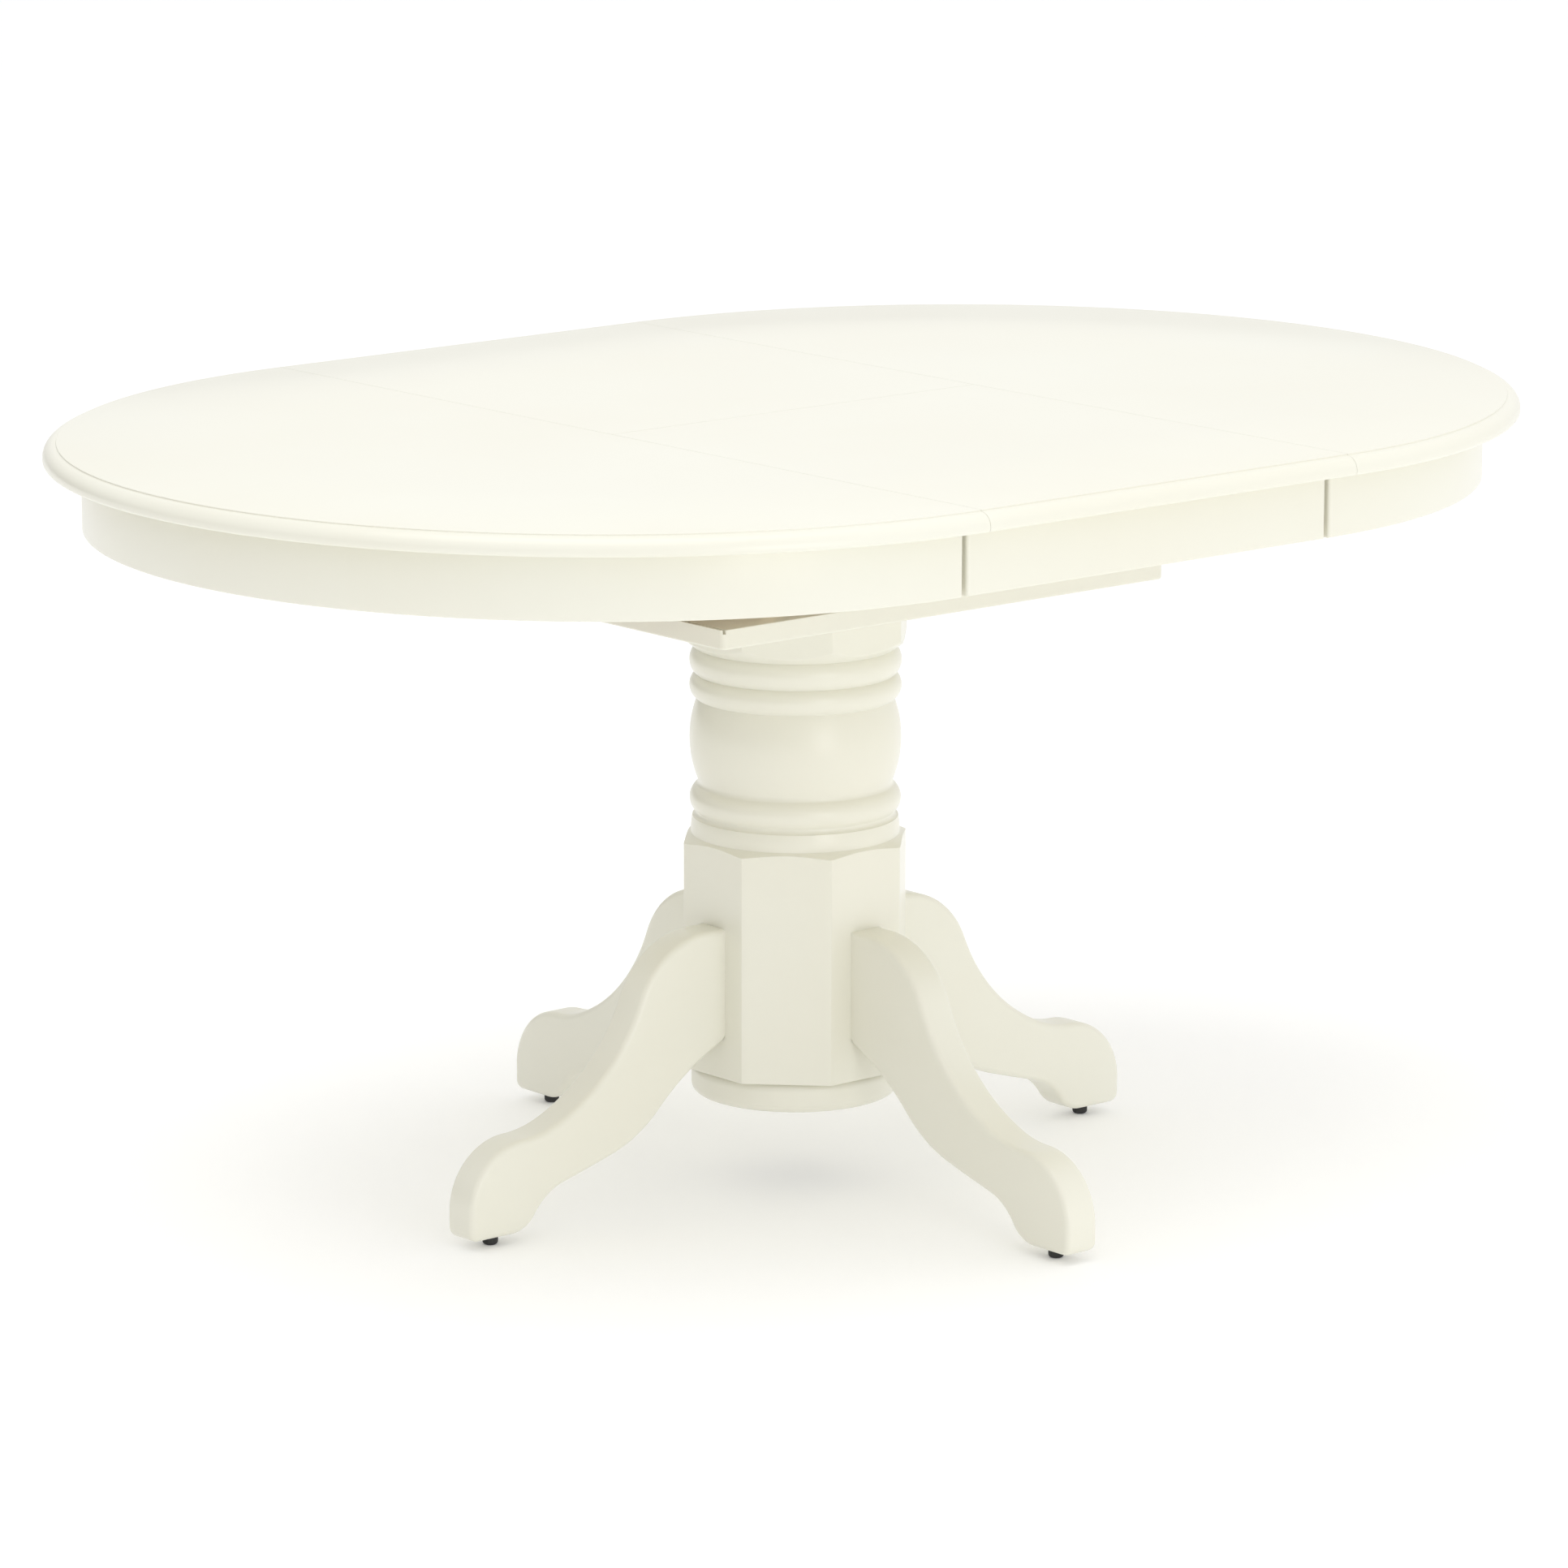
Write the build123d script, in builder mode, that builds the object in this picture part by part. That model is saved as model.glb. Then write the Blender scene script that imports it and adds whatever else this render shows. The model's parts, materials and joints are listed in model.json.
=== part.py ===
"""Oval extending pedestal table with a folding centre leaf, in millimetres.

X runs along the table, Y across it, Z is up and the floor is z = 0.
The table is modelled opened out, with its leaf in place between the two half tops.
"""

from build123d import *
from math import atan, cos, pi, radians, sin, sqrt, tan
import os

# ---- driving dimensions -------------------------------------------------------------
TABLE_HEIGHT = 762.0
TOP_THICKNESS = 19.0
TOP_RADIUS = 533.4  # each half top is half of a 42 in round
LEAF_WIDTH = 457.2  # 18 in leaf
EDGE_ROUND = 13.0  # roll of the moulded edge
EDGE_STEP = 1.5  # small step that sets the roll off from the flat
EDGE_UNDER_ROUND = 3.5
LEAF_SIDE_GAP = 0.4  # leaf to half top, each side
LEAF_FOLD_GAP = 0.4  # between the two leaf halves

APRON_INSET = 36.0
APRON_HEIGHT = 64.0
APRON_THICKNESS = 19.0
APRON_JOINT_GAP = 5.0
APRON_END_ROUND = 3.0  # eased outer corners where two aprons meet
BLOCK_WIDTH = 24.0  # glue blocks between the curved apron and the top
BLOCK_LENGTH = 50.0
APRON_TOP_GAP = 0.3  # the hinged leaf aprons hang just clear of the leaf

ACROSS_FLATS = 210.0  # octagonal column blank
COLUMN_BOTTOM = 119.0
COLUMN_TOP = 594.5
CAVITY_SIZE = 120.0  # square hollow that the leg nuts are reached through
CAVITY_TOP = 330.0
CORNER_CLEAR = 116.0  # just outside the octagon's corners
COLUMN_SCREW_CIRCLE = 70.0  # screws that hold the board down on the column
COLUMN_SCREW_RADIUS = 4.0
COLUMN_SCREW_GRIP = 48.0
COLUMN_SCREW_HEAD = 5.5
DISC_RADIUS = 101.0
DISC_BOTTOM = 89.0
DISC_HOLE_RADIUS = 45.0
DISC_RIM_ROUND = 9.0
DISC_SCREW_CIRCLE = 80.0
DISC_SCREW_RADIUS = 2.0
DISC_SCREW_HEAD_RADIUS = 4.4
DISC_SCREW_SINK = 4.0  # depth of the counterbore
DISC_SCREW_GRIP = 24.0

LEG_THICKNESS = 38.0
LEG_EDGE_ROUND = 6.0
FOOT_LIFT = 10.0
GLIDE_RADIUS = 7.5
GLIDE_ROUND = 3.5
GLIDE_CENTRE = 380.0
GLIDE_STEM_RADIUS = 2.5
GLIDE_STEM_LENGTH = 15.0
BOLT_HEIGHTS = (190.0, 238.0)  # two bolts hold each leg
BOLT_RADIUS = 4.0
BOLT_REACH = 50.0  # into the leg
BOLT_TAIL = 14.0  # into the column's hollow
WASHER_RADIUS = 11.0
WASHER_THICKNESS = 2.0
NUT_HALF_WIDTH = 6.5
NUT_HEIGHT = 6.5

BOARD_LENGTH = 556.0
BOARD_WIDTH = 444.0
BOARD_THICKNESS = 19.0
BOARD_CORNER_ROUND = 6.0
BOARD_EDGE_ROUND = 2.0
BOARD_TOP_EDGE_ROUND = 0.8
BOARD_GROOVE_WIDTH = 2.5  # fine groove along the top of each end
BOARD_GROOVE_DEPTH = 4.0
BOARD_GROOVE_LIP = 1.5

RISER_X = 200.0
RISER_THICKNESS = 19.0
RISER_LENGTH = 390.0
RISER_SCREW_Y = 120.0
RISER_SCREW_GRIP = 28.0
RISER_SCREW_HEAD = 2.0
SMALL_SCREW_RADIUS = 2.5
SMALL_SCREW_HEAD_RADIUS = 5.0

RAIL_HEIGHT = 44.5
RAIL_WIDTH = 20.0
RAIL_CENTRE_Y = 165.0
RAIL_SIDE_GAP = 0.5
FIXED_RAIL_LENGTH = 540.0
MOVING_RAIL_START = -190.0
MOVING_RAIL_END = 420.0
TONGUE_HEIGHT = 10.0
TONGUE_DEPTH = 6.0
TONGUE_GAP = 0.5
FIXED_RAIL_CLEAR = 0.4  # below the tops, which slide over it
FIXED_RAIL_DROP = 0.5  # below the moving rails, to keep them off the risers
RAIL_SCREW_SINK = 8.0
RAIL_SCREW_HEAD = 4.0
TOP_SCREW_SINK = 12.0
TOP_SCREW_RADIUS = 2.0
TOP_SCREW_HEAD = 4.0

GEAR_MODULE = 2.5
PINION_TEETH = 18
GEAR_THICKNESS = 12.0
GEAR_BACKLASH = 0.5  # each tooth is this much thinner than a close mesh
PRESSURE_ANGLE = 20.0
RACK_DEPTH = 14.0
RACK_START = -78.0
RACK_SLOT_CLEAR = 6.0  # each side of the racks, in the risers
GEAR_SLOT_CLEAR = 3.0  # over the racks, in the risers
STUD_RADIUS = 5.0
STUD_SINK = 1.0  # the stud stops this far above the column
STUD_OVER_GEAR = 6.0
STUD_COLLAR_RADIUS = 11.0
STUD_COLLAR_GAP = 0.3
CLIP_GROOVE_LIFT = 0.4
CLIP_GROOVE_DEPTH = 1.0
CLIP_GROOVE_HEIGHT = 2.0
CLIP_LIFT = 0.6
CLIP_RADIUS = 9.0
CLIP_THICKNESS = 1.5
TOOTH_ADDENDUM = 0.9 * GEAR_MODULE
TOOTH_DEDENDUM = 1.25 * GEAR_MODULE
FLANK_STEPS = 5
ROOT_FLARE = 0.01  # radians that each side of a tooth widens at its root
RACK_SCREW_Y = 31.5
RACK_SCREW_GRIP = 24.0
RACK_SCREW_HEAD = 1.5

TIE_X = 300.0
TIE_THICKNESS = 19.0
TIE_NOTCH_INWARD = 11.0  # notch centres, inwards from the fixed rails
TIE_NOTCH_CLEAR = 12.0
TIE_NOTCH_DROP = 2.0

# ---- derived heights and places -----------------------------------------------------
UNDERSIDE = TABLE_HEIGHT - TOP_THICKNESS
APRON_BOTTOM = UNDERSIDE - APRON_HEIGHT
APRON_OUTER = TOP_RADIUS - APRON_INSET
APRON_INNER = APRON_OUTER - APRON_THICKNESS
HALF_LEAF = LEAF_WIDTH / 2
BOARD_TOP = COLUMN_TOP + BOARD_THICKNESS
FLAT = ACROSS_FLATS / 2
RAIL_BOTTOM = UNDERSIDE - RAIL_HEIGHT
RISER_TOP = RAIL_BOTTOM - FIXED_RAIL_DROP
GEAR_BOTTOM = BOARD_TOP + 3.0
GEAR_TOP = GEAR_BOTTOM + GEAR_THICKNESS
PITCH_RADIUS = GEAR_MODULE * PINION_TEETH / 2
TIE_BOTTOM = GEAR_TOP

os.makedirs("parts", exist_ok=True)


# ---- column and base disc -----------------------------------------------------------
with BuildPart() as column:
    with BuildSketch(Plane.XY.offset(COLUMN_BOTTOM)):
        RegularPolygon(FLAT, 8, major_radius=False, rotation=22.5)
    extrude(amount=COLUMN_TOP - COLUMN_BOTTOM)
    # The turned profile: octagonal stock below and above, beads, barrel and grooves between.
    with BuildSketch(Plane.XZ):
        with BuildLine():
            Polyline((0, COLUMN_BOTTOM), (CORNER_CLEAR, COLUMN_BOTTOM), (CORNER_CLEAR, 341.5))
            ThreePointArc((CORNER_CLEAR, 341.5), (108, 344), (101.3, 347.5))
            Polyline((101.3, 347.5), (100, 364.5), (96.5, 369.5))
            ThreePointArc((96.5, 369.5), (102.6, 382.5), (95.5, 395.5))
            Polyline((95.5, 395.5), (94.7, 400.5))
            ThreePointArc((94.7, 400.5), (102.7, 441), (95.6, 480.5))
            ThreePointArc((95.6, 480.5), (102.8, 492.5), (97, 505))
            ThreePointArc((97, 505), (102.8, 518), (97.5, 531))
            ThreePointArc((97.5, 531), (106, 537.5), (CORNER_CLEAR, 546))
            Polyline((CORNER_CLEAR, 546), (CORNER_CLEAR, COLUMN_TOP), (0, COLUMN_TOP), (0, COLUMN_BOTTOM))
        make_face()
    revolve(axis=Axis.Z, mode=Mode.INTERSECT)
    with BuildSketch(Plane.XY.offset(COLUMN_BOTTOM)):
        Rectangle(CAVITY_SIZE, CAVITY_SIZE)
    extrude(amount=CAVITY_TOP - COLUMN_BOTTOM, mode=Mode.SUBTRACT)
    for angle in (0, 90):
        with BuildSketch(Plane.YZ.rotated((0, 0, angle)).offset(-FLAT - 1)):
            for height in BOLT_HEIGHTS:
                with Locations((0, height)):
                    Circle(BOLT_RADIUS + 0.5)
        extrude(amount=2 * FLAT + 2, mode=Mode.SUBTRACT)
    with BuildSketch(Plane.XY.offset(COLUMN_TOP)):
        with PolarLocations(COLUMN_SCREW_CIRCLE, 4, start_angle=45):
            Circle(COLUMN_SCREW_RADIUS)
    extrude(amount=-COLUMN_SCREW_GRIP - 2, mode=Mode.SUBTRACT)
    with BuildSketch(Plane.XY.offset(COLUMN_BOTTOM)):
        with PolarLocations(DISC_SCREW_CIRCLE, 4):
            Circle(DISC_SCREW_RADIUS)
    extrude(amount=DISC_SCREW_GRIP + 2, mode=Mode.SUBTRACT)
column.part.label = "column"
export_step(column.part, "parts/column.step")

with BuildPart() as base_disc:
    with BuildSketch(Plane.XY.offset(DISC_BOTTOM)):
        Circle(DISC_RADIUS)
        Circle(DISC_HOLE_RADIUS, mode=Mode.SUBTRACT)
    extrude(amount=COLUMN_BOTTOM - DISC_BOTTOM)
    outer_edges = base_disc.edges().filter_by(GeomType.CIRCLE).sort_by(SortBy.RADIUS)[-2:]
    fillet(outer_edges, radius=DISC_RIM_ROUND)
    with BuildSketch(Plane.XY.offset(DISC_BOTTOM)):
        with PolarLocations(DISC_SCREW_CIRCLE, 4):
            Circle(DISC_SCREW_RADIUS)
    extrude(amount=COLUMN_BOTTOM - DISC_BOTTOM, mode=Mode.SUBTRACT)
    with BuildSketch(Plane.XY.offset(DISC_BOTTOM)):
        with PolarLocations(DISC_SCREW_CIRCLE, 4):
            Circle(DISC_SCREW_HEAD_RADIUS + 0.1)
    extrude(amount=DISC_SCREW_SINK, mode=Mode.SUBTRACT)
base_disc.part.label = "base_disc"
export_step(base_disc.part, "parts/base_disc.step")

with BuildPart() as disc_screws:
    with BuildSketch(Plane.XY.offset(DISC_BOTTOM + 1)):
        with PolarLocations(DISC_SCREW_CIRCLE, 4):
            Circle(DISC_SCREW_HEAD_RADIUS)
    extrude(amount=DISC_SCREW_SINK - 1)
    with BuildSketch(Plane.XY.offset(DISC_BOTTOM + DISC_SCREW_SINK)):
        with PolarLocations(DISC_SCREW_CIRCLE, 4):
            Circle(DISC_SCREW_RADIUS)
    extrude(amount=COLUMN_BOTTOM - DISC_BOTTOM - DISC_SCREW_SINK + DISC_SCREW_GRIP)
disc_screws.part.label = "disc_screws"
export_step(disc_screws.part, "parts/disc_screws.step")

# ---- legs, their bolts and glides ---------------------------------------------------
with BuildPart() as leg:
    with BuildSketch(Plane.XZ.offset(-LEG_THICKNESS / 2)):
        with BuildLine():
            # The back edge, down from the column: knee, hollow, instep and toe.
            Line((FLAT, 157), (FLAT, 268))
            Line((FLAT, 268), (126, 268))
            knee = TangentArc((126, 268), (208, 213), tangent=(1, 0))
            hollow = TangentArc((208, 213), (314, 108.5), tangent=knee % 1)
            instep = TangentArc((314, 108.5), (352, 101), tangent=hollow % 1)
            TangentArc((352, 101), (417, 40), tangent=instep % 1)
            Line((417, 40), (417, 20))
            ThreePointArc((417, 20), (414.1, 12.9), (407, FOOT_LIFT))
            Line((407, FOOT_LIFT), (366, FOOT_LIFT))
            # The underside, back up from the heel to the column.
            heel = TangentArc((366, FOOT_LIFT), (338, 25), tangent=(-1, 0))
            sole = TangentArc((338, 25), (303, 50), tangent=heel % 1)
            waist = TangentArc((303, 50), (243, 67), tangent=sole % 1)
            shin = TangentArc((243, 67), (185, 102), tangent=waist % 1)
            TangentArc((185, 102), (FLAT, 157), tangent=shin % 1)
        make_face()
    extrude(amount=LEG_THICKNESS)
    rims = leg.faces().filter_by(Axis.Y)
    long_edges = [edge for face in rims for edge in face.edges() if edge.center().X > FLAT + 1]
    fillet(long_edges, radius=LEG_EDGE_ROUND)
    with BuildSketch(Plane.YZ.offset(FLAT)):
        for height in BOLT_HEIGHTS:
            with Locations((0, height)):
                Circle(BOLT_RADIUS + 0.05)
    extrude(amount=BOLT_REACH + 2, mode=Mode.SUBTRACT)
    with BuildSketch(Plane.XY.offset(FOOT_LIFT)):
        with Locations((GLIDE_CENTRE, 0)):
            Circle(GLIDE_STEM_RADIUS + 0.05)
    extrude(amount=GLIDE_STEM_LENGTH + 1, mode=Mode.SUBTRACT)

LEG_TURNS = {"leg_right": 0, "leg_back": 90, "leg_left": 180, "leg_front": 270}
for leg_name, turn in LEG_TURNS.items():
    placed_leg = Rotation(0, 0, turn) * leg.part
    placed_leg.label = leg_name
    export_step(placed_leg, f"parts/{leg_name}.step")


def leg_bolt_planes(radius):
    """Planes that face outwards through each leg, with their origins on the column's axis."""
    return [Plane.YZ.rotated((0, 0, turn)).offset(radius) for turn in (0, 90, 180, 270)]


with BuildPart() as leg_bolts:
    for plane in leg_bolt_planes(CAVITY_SIZE / 2 - BOLT_TAIL):
        with BuildSketch(plane):
            for height in BOLT_HEIGHTS:
                with Locations((0, height)):
                    Circle(BOLT_RADIUS)
        extrude(amount=FLAT - CAVITY_SIZE / 2 + BOLT_TAIL + BOLT_REACH)
leg_bolts.part.label = "leg_bolts"
export_step(leg_bolts.part, "parts/leg_bolts.step")

with BuildPart() as leg_washers:
    for plane in leg_bolt_planes(CAVITY_SIZE / 2):
        with BuildSketch(plane):
            for height in BOLT_HEIGHTS:
                with Locations((0, height)):
                    Circle(WASHER_RADIUS)
                    Circle(BOLT_RADIUS + 0.3, mode=Mode.SUBTRACT)
        extrude(amount=-WASHER_THICKNESS)
leg_washers.part.label = "leg_washers"
export_step(leg_washers.part, "parts/leg_washers.step")

with BuildPart() as leg_nuts:
    for plane in leg_bolt_planes(CAVITY_SIZE / 2 - WASHER_THICKNESS):
        with BuildSketch(plane):
            for height in BOLT_HEIGHTS:
                with Locations((0, height)):
                    RegularPolygon(NUT_HALF_WIDTH, 6, major_radius=False)
                    Circle(BOLT_RADIUS + 0.02, mode=Mode.SUBTRACT)
        extrude(amount=-NUT_HEIGHT)
leg_nuts.part.label = "leg_nuts"
export_step(leg_nuts.part, "parts/leg_nuts.step")

with BuildPart() as glides:
    with BuildSketch(Plane.XY):
        with PolarLocations(GLIDE_CENTRE, 4):
            Circle(GLIDE_RADIUS)
    extrude(amount=FOOT_LIFT)
    fillet(glides.edges().group_by(Axis.Z)[0], radius=GLIDE_ROUND)
    with BuildSketch(Plane.XY.offset(FOOT_LIFT)):
        with PolarLocations(GLIDE_CENTRE, 4):
            Circle(GLIDE_STEM_RADIUS)
    extrude(amount=GLIDE_STEM_LENGTH)
glides.part.label = "glides"
export_step(glides.part, "parts/glides.step")

# ---- mounting board, risers and fixed rails -----------------------------------------
RISER_PLACES = [(i * RISER_X, j * RISER_SCREW_Y) for i in (-1, 1) for j in (-1, 1)]
RAIL_PLACES = [(i * RISER_X, j * RAIL_CENTRE_Y) for i in (-1, 1) for j in (-1, 1)]

with BuildPart() as mounting_board:
    with BuildSketch(Plane.XY.offset(COLUMN_TOP)):
        Rectangle(BOARD_LENGTH, BOARD_WIDTH)
    extrude(amount=BOARD_THICKNESS)
    fillet(mounting_board.edges().filter_by(Axis.Z), radius=BOARD_CORNER_ROUND)
    fillet(mounting_board.edges().group_by(Axis.Z)[0], radius=BOARD_EDGE_ROUND)
    fillet(mounting_board.edges().group_by(Axis.Z)[-1], radius=BOARD_TOP_EDGE_ROUND)
    with BuildSketch(Plane.XY.offset(BOARD_TOP)):
        groove_x = BOARD_LENGTH / 2 - BOARD_GROOVE_LIP - BOARD_GROOVE_WIDTH / 2
        with Locations((-groove_x, 0), (groove_x, 0)):
            Rectangle(BOARD_GROOVE_WIDTH, BOARD_WIDTH)
    extrude(amount=-BOARD_GROOVE_DEPTH, mode=Mode.SUBTRACT)
    with BuildSketch(Plane.XY.offset(COLUMN_TOP)):
        with PolarLocations(COLUMN_SCREW_CIRCLE, 4, start_angle=45):
            Circle(COLUMN_SCREW_RADIUS + 0.2)
        with Locations(*RISER_PLACES):
            Circle(SMALL_SCREW_RADIUS)
        Circle(STUD_RADIUS)
    extrude(amount=BOARD_THICKNESS, mode=Mode.SUBTRACT)
mounting_board.part.label = "mounting_board"
export_step(mounting_board.part, "parts/mounting_board.step")

with BuildPart() as column_screws:
    with BuildSketch(Plane.XY.offset(BOARD_TOP)):
        with PolarLocations(COLUMN_SCREW_CIRCLE, 4, start_angle=45):
            RegularPolygon(NUT_HALF_WIDTH, 6, major_radius=False)
    extrude(amount=COLUMN_SCREW_HEAD)
    with BuildSketch(Plane.XY.offset(BOARD_TOP)):
        with PolarLocations(COLUMN_SCREW_CIRCLE, 4, start_angle=45):
            Circle(COLUMN_SCREW_RADIUS)
    extrude(amount=-(BOARD_THICKNESS + COLUMN_SCREW_GRIP))
column_screws.part.label = "column_screws"
export_step(column_screws.part, "parts/column_screws.step")

for riser_name, side in {"riser_left": -1, "riser_right": 1}.items():
    with BuildPart() as riser:
        with BuildSketch(Plane.XY.offset(BOARD_TOP)):
            with Locations((side * RISER_X, 0)):
                Rectangle(RISER_THICKNESS, RISER_LENGTH)
        extrude(amount=RISER_TOP - BOARD_TOP)
        with BuildSketch(Plane.XY.offset(BOARD_TOP)):
            # The racks run through a low slot in each riser.
            with Locations((side * RISER_X, 0)):
                Rectangle(RISER_THICKNESS, 2 * (PITCH_RADIUS + RACK_DEPTH + RACK_SLOT_CLEAR))
        extrude(amount=GEAR_TOP + GEAR_SLOT_CLEAR - BOARD_TOP, mode=Mode.SUBTRACT)
        with BuildSketch(Plane.XY.offset(BOARD_TOP)):
            with Locations((side * RISER_X, -RISER_SCREW_Y), (side * RISER_X, RISER_SCREW_Y)):
                Circle(SMALL_SCREW_RADIUS)
        extrude(amount=RISER_SCREW_GRIP + 2, mode=Mode.SUBTRACT)
        with BuildSketch(Plane.XY.offset(RISER_TOP)):
            with Locations((side * RISER_X, -RAIL_CENTRE_Y), (side * RISER_X, RAIL_CENTRE_Y)):
                Circle(SMALL_SCREW_RADIUS)
        extrude(amount=-RISER_SCREW_GRIP - 2, mode=Mode.SUBTRACT)
    riser.part.label = riser_name
    export_step(riser.part, f"parts/{riser_name}.step")

with BuildPart() as riser_screws:
    with BuildSketch(Plane.XY.offset(COLUMN_TOP - RISER_SCREW_HEAD)):
        with Locations(*RISER_PLACES):
            Circle(SMALL_SCREW_HEAD_RADIUS)
    extrude(amount=RISER_SCREW_HEAD)
    with BuildSketch(Plane.XY.offset(COLUMN_TOP)):
        with Locations(*RISER_PLACES):
            Circle(SMALL_SCREW_RADIUS)
    extrude(amount=BOARD_THICKNESS + RISER_SCREW_GRIP)
riser_screws.part.label = "riser_screws"
export_step(riser_screws.part, "parts/riser_screws.step")

RAIL_TONGUE_Z = (RAIL_BOTTOM + UNDERSIDE) / 2
FIXED_RAIL_TOP = UNDERSIDE - FIXED_RAIL_CLEAR
for rail_name, side in {"fixed_rail_front": -1, "fixed_rail_back": 1}.items():
    with BuildPart() as fixed_rail:
        with BuildSketch(Plane.YZ.offset(-FIXED_RAIL_LENGTH / 2)):
            with Locations((side * RAIL_CENTRE_Y, (RISER_TOP + FIXED_RAIL_TOP) / 2)):
                Rectangle(RAIL_WIDTH, FIXED_RAIL_TOP - RISER_TOP)
            with Locations((side * RAIL_CENTRE_Y, RAIL_TONGUE_Z)):
                Rectangle(RAIL_WIDTH + 2 * TONGUE_DEPTH, TONGUE_HEIGHT)
        extrude(amount=FIXED_RAIL_LENGTH)
        with BuildSketch(Plane.XY.offset(UNDERSIDE)):
            with Locations((-RISER_X, side * RAIL_CENTRE_Y), (RISER_X, side * RAIL_CENTRE_Y)):
                Circle(SMALL_SCREW_RADIUS)
        extrude(amount=RISER_TOP - UNDERSIDE, mode=Mode.SUBTRACT)
        with BuildSketch(Plane.XY.offset(UNDERSIDE)):
            with Locations((-RISER_X, side * RAIL_CENTRE_Y), (RISER_X, side * RAIL_CENTRE_Y)):
                Circle(SMALL_SCREW_HEAD_RADIUS)
        extrude(amount=-RAIL_SCREW_SINK, mode=Mode.SUBTRACT)
    fixed_rail.part.label = rail_name
    export_step(fixed_rail.part, f"parts/{rail_name}.step")

with BuildPart() as rail_screws:
    with BuildSketch(Plane.XY.offset(UNDERSIDE - RAIL_SCREW_SINK)):
        with Locations(*RAIL_PLACES):
            Circle(SMALL_SCREW_HEAD_RADIUS - 0.2)
    extrude(amount=RAIL_SCREW_HEAD)
    with BuildSketch(Plane.XY.offset(UNDERSIDE - RAIL_SCREW_SINK)):
        with Locations(*RAIL_PLACES):
            Circle(SMALL_SCREW_RADIUS)
    extrude(amount=RISER_TOP - RISER_SCREW_GRIP - UNDERSIDE + RAIL_SCREW_SINK)
rail_screws.part.label = "rail_screws"
export_step(rail_screws.part, "parts/rail_screws.step")


# ---- equaliser gear -----------------------------------------------------------------
def tooth_flank():
    """One side of a pinion tooth, root to tip, as (radius, half angle of the tooth at that radius).

    The flank is an involute: at each radius the base circle's tangent has turned by `turn`,
    and the tooth has narrowed by turn - atan(turn).
    """
    base = PITCH_RADIUS * cos(radians(PRESSURE_ANGLE))
    tip = PITCH_RADIUS + TOOTH_ADDENDUM
    root = PITCH_RADIUS - TOOTH_DEDENDUM
    half_at_pitch = (pi * GEAR_MODULE / 2 - GEAR_BACKLASH) / 2 / PITCH_RADIUS
    half_at_base = half_at_pitch + tan(radians(PRESSURE_ANGLE)) - radians(PRESSURE_ANGLE)
    flank = [(root, half_at_base + ROOT_FLARE)]
    start = max(base, root)
    for step in range(FLANK_STEPS + 1):
        radius = start + (tip - start) * step / FLANK_STEPS
        turn = sqrt((radius / base) ** 2 - 1) if radius > base else 0.0
        flank.append((radius, half_at_base - turn + atan(turn)))
    return flank


def pinion_outline():
    """All the teeth in turn. A tooth space, not a tooth, points along +X."""
    points = []
    flank = tooth_flank()
    for tooth in range(PINION_TEETH):
        centre = 2 * pi * (tooth + 0.5) / PINION_TEETH
        points += [(r * cos(centre - half), r * sin(centre - half)) for r, half in flank]
        points += [(r * cos(centre + half), r * sin(centre + half)) for r, half in reversed(flank)]
    return points


with BuildPart() as pinion:
    with BuildSketch(Plane.XY.offset(GEAR_BOTTOM)):
        with BuildLine():
            Polyline(*pinion_outline(), close=True)
        make_face()
        Circle(STUD_RADIUS + 0.05, mode=Mode.SUBTRACT)
    extrude(amount=GEAR_THICKNESS)
pinion.part.label = "pinion"
export_step(pinion.part, "parts/pinion.step")

with BuildPart() as pinion_stud:
    with BuildSketch(Plane.XY.offset(COLUMN_TOP + STUD_SINK)):
        Circle(STUD_RADIUS)
    extrude(amount=GEAR_TOP + STUD_OVER_GEAR - COLUMN_TOP - STUD_SINK)
    with BuildSketch(Plane.XY.offset(BOARD_TOP)):
        Circle(STUD_COLLAR_RADIUS)
    extrude(amount=GEAR_BOTTOM - BOARD_TOP - STUD_COLLAR_GAP)
    with BuildSketch(Plane.XY.offset(GEAR_TOP + CLIP_GROOVE_LIFT)):
        Circle(STUD_RADIUS)
        Circle(STUD_RADIUS - CLIP_GROOVE_DEPTH, mode=Mode.SUBTRACT)
    extrude(amount=CLIP_GROOVE_HEIGHT, mode=Mode.SUBTRACT)
pinion_stud.part.label = "pinion_stud"
export_step(pinion_stud.part, "parts/pinion_stud.step")

with BuildPart() as pinion_clip:
    with BuildSketch(Plane.XY.offset(GEAR_TOP + CLIP_LIFT)):
        Circle(CLIP_RADIUS)
        Circle(STUD_RADIUS - CLIP_GROOVE_DEPTH, mode=Mode.SUBTRACT)
    extrude(amount=CLIP_THICKNESS)
pinion_clip.part.label = "pinion_clip"
export_step(pinion_clip.part, "parts/pinion_clip.step")

RACK_PITCH = pi * GEAR_MODULE
RACK_TEETH_START = -9
RACK_TEETH_END = 37


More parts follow.
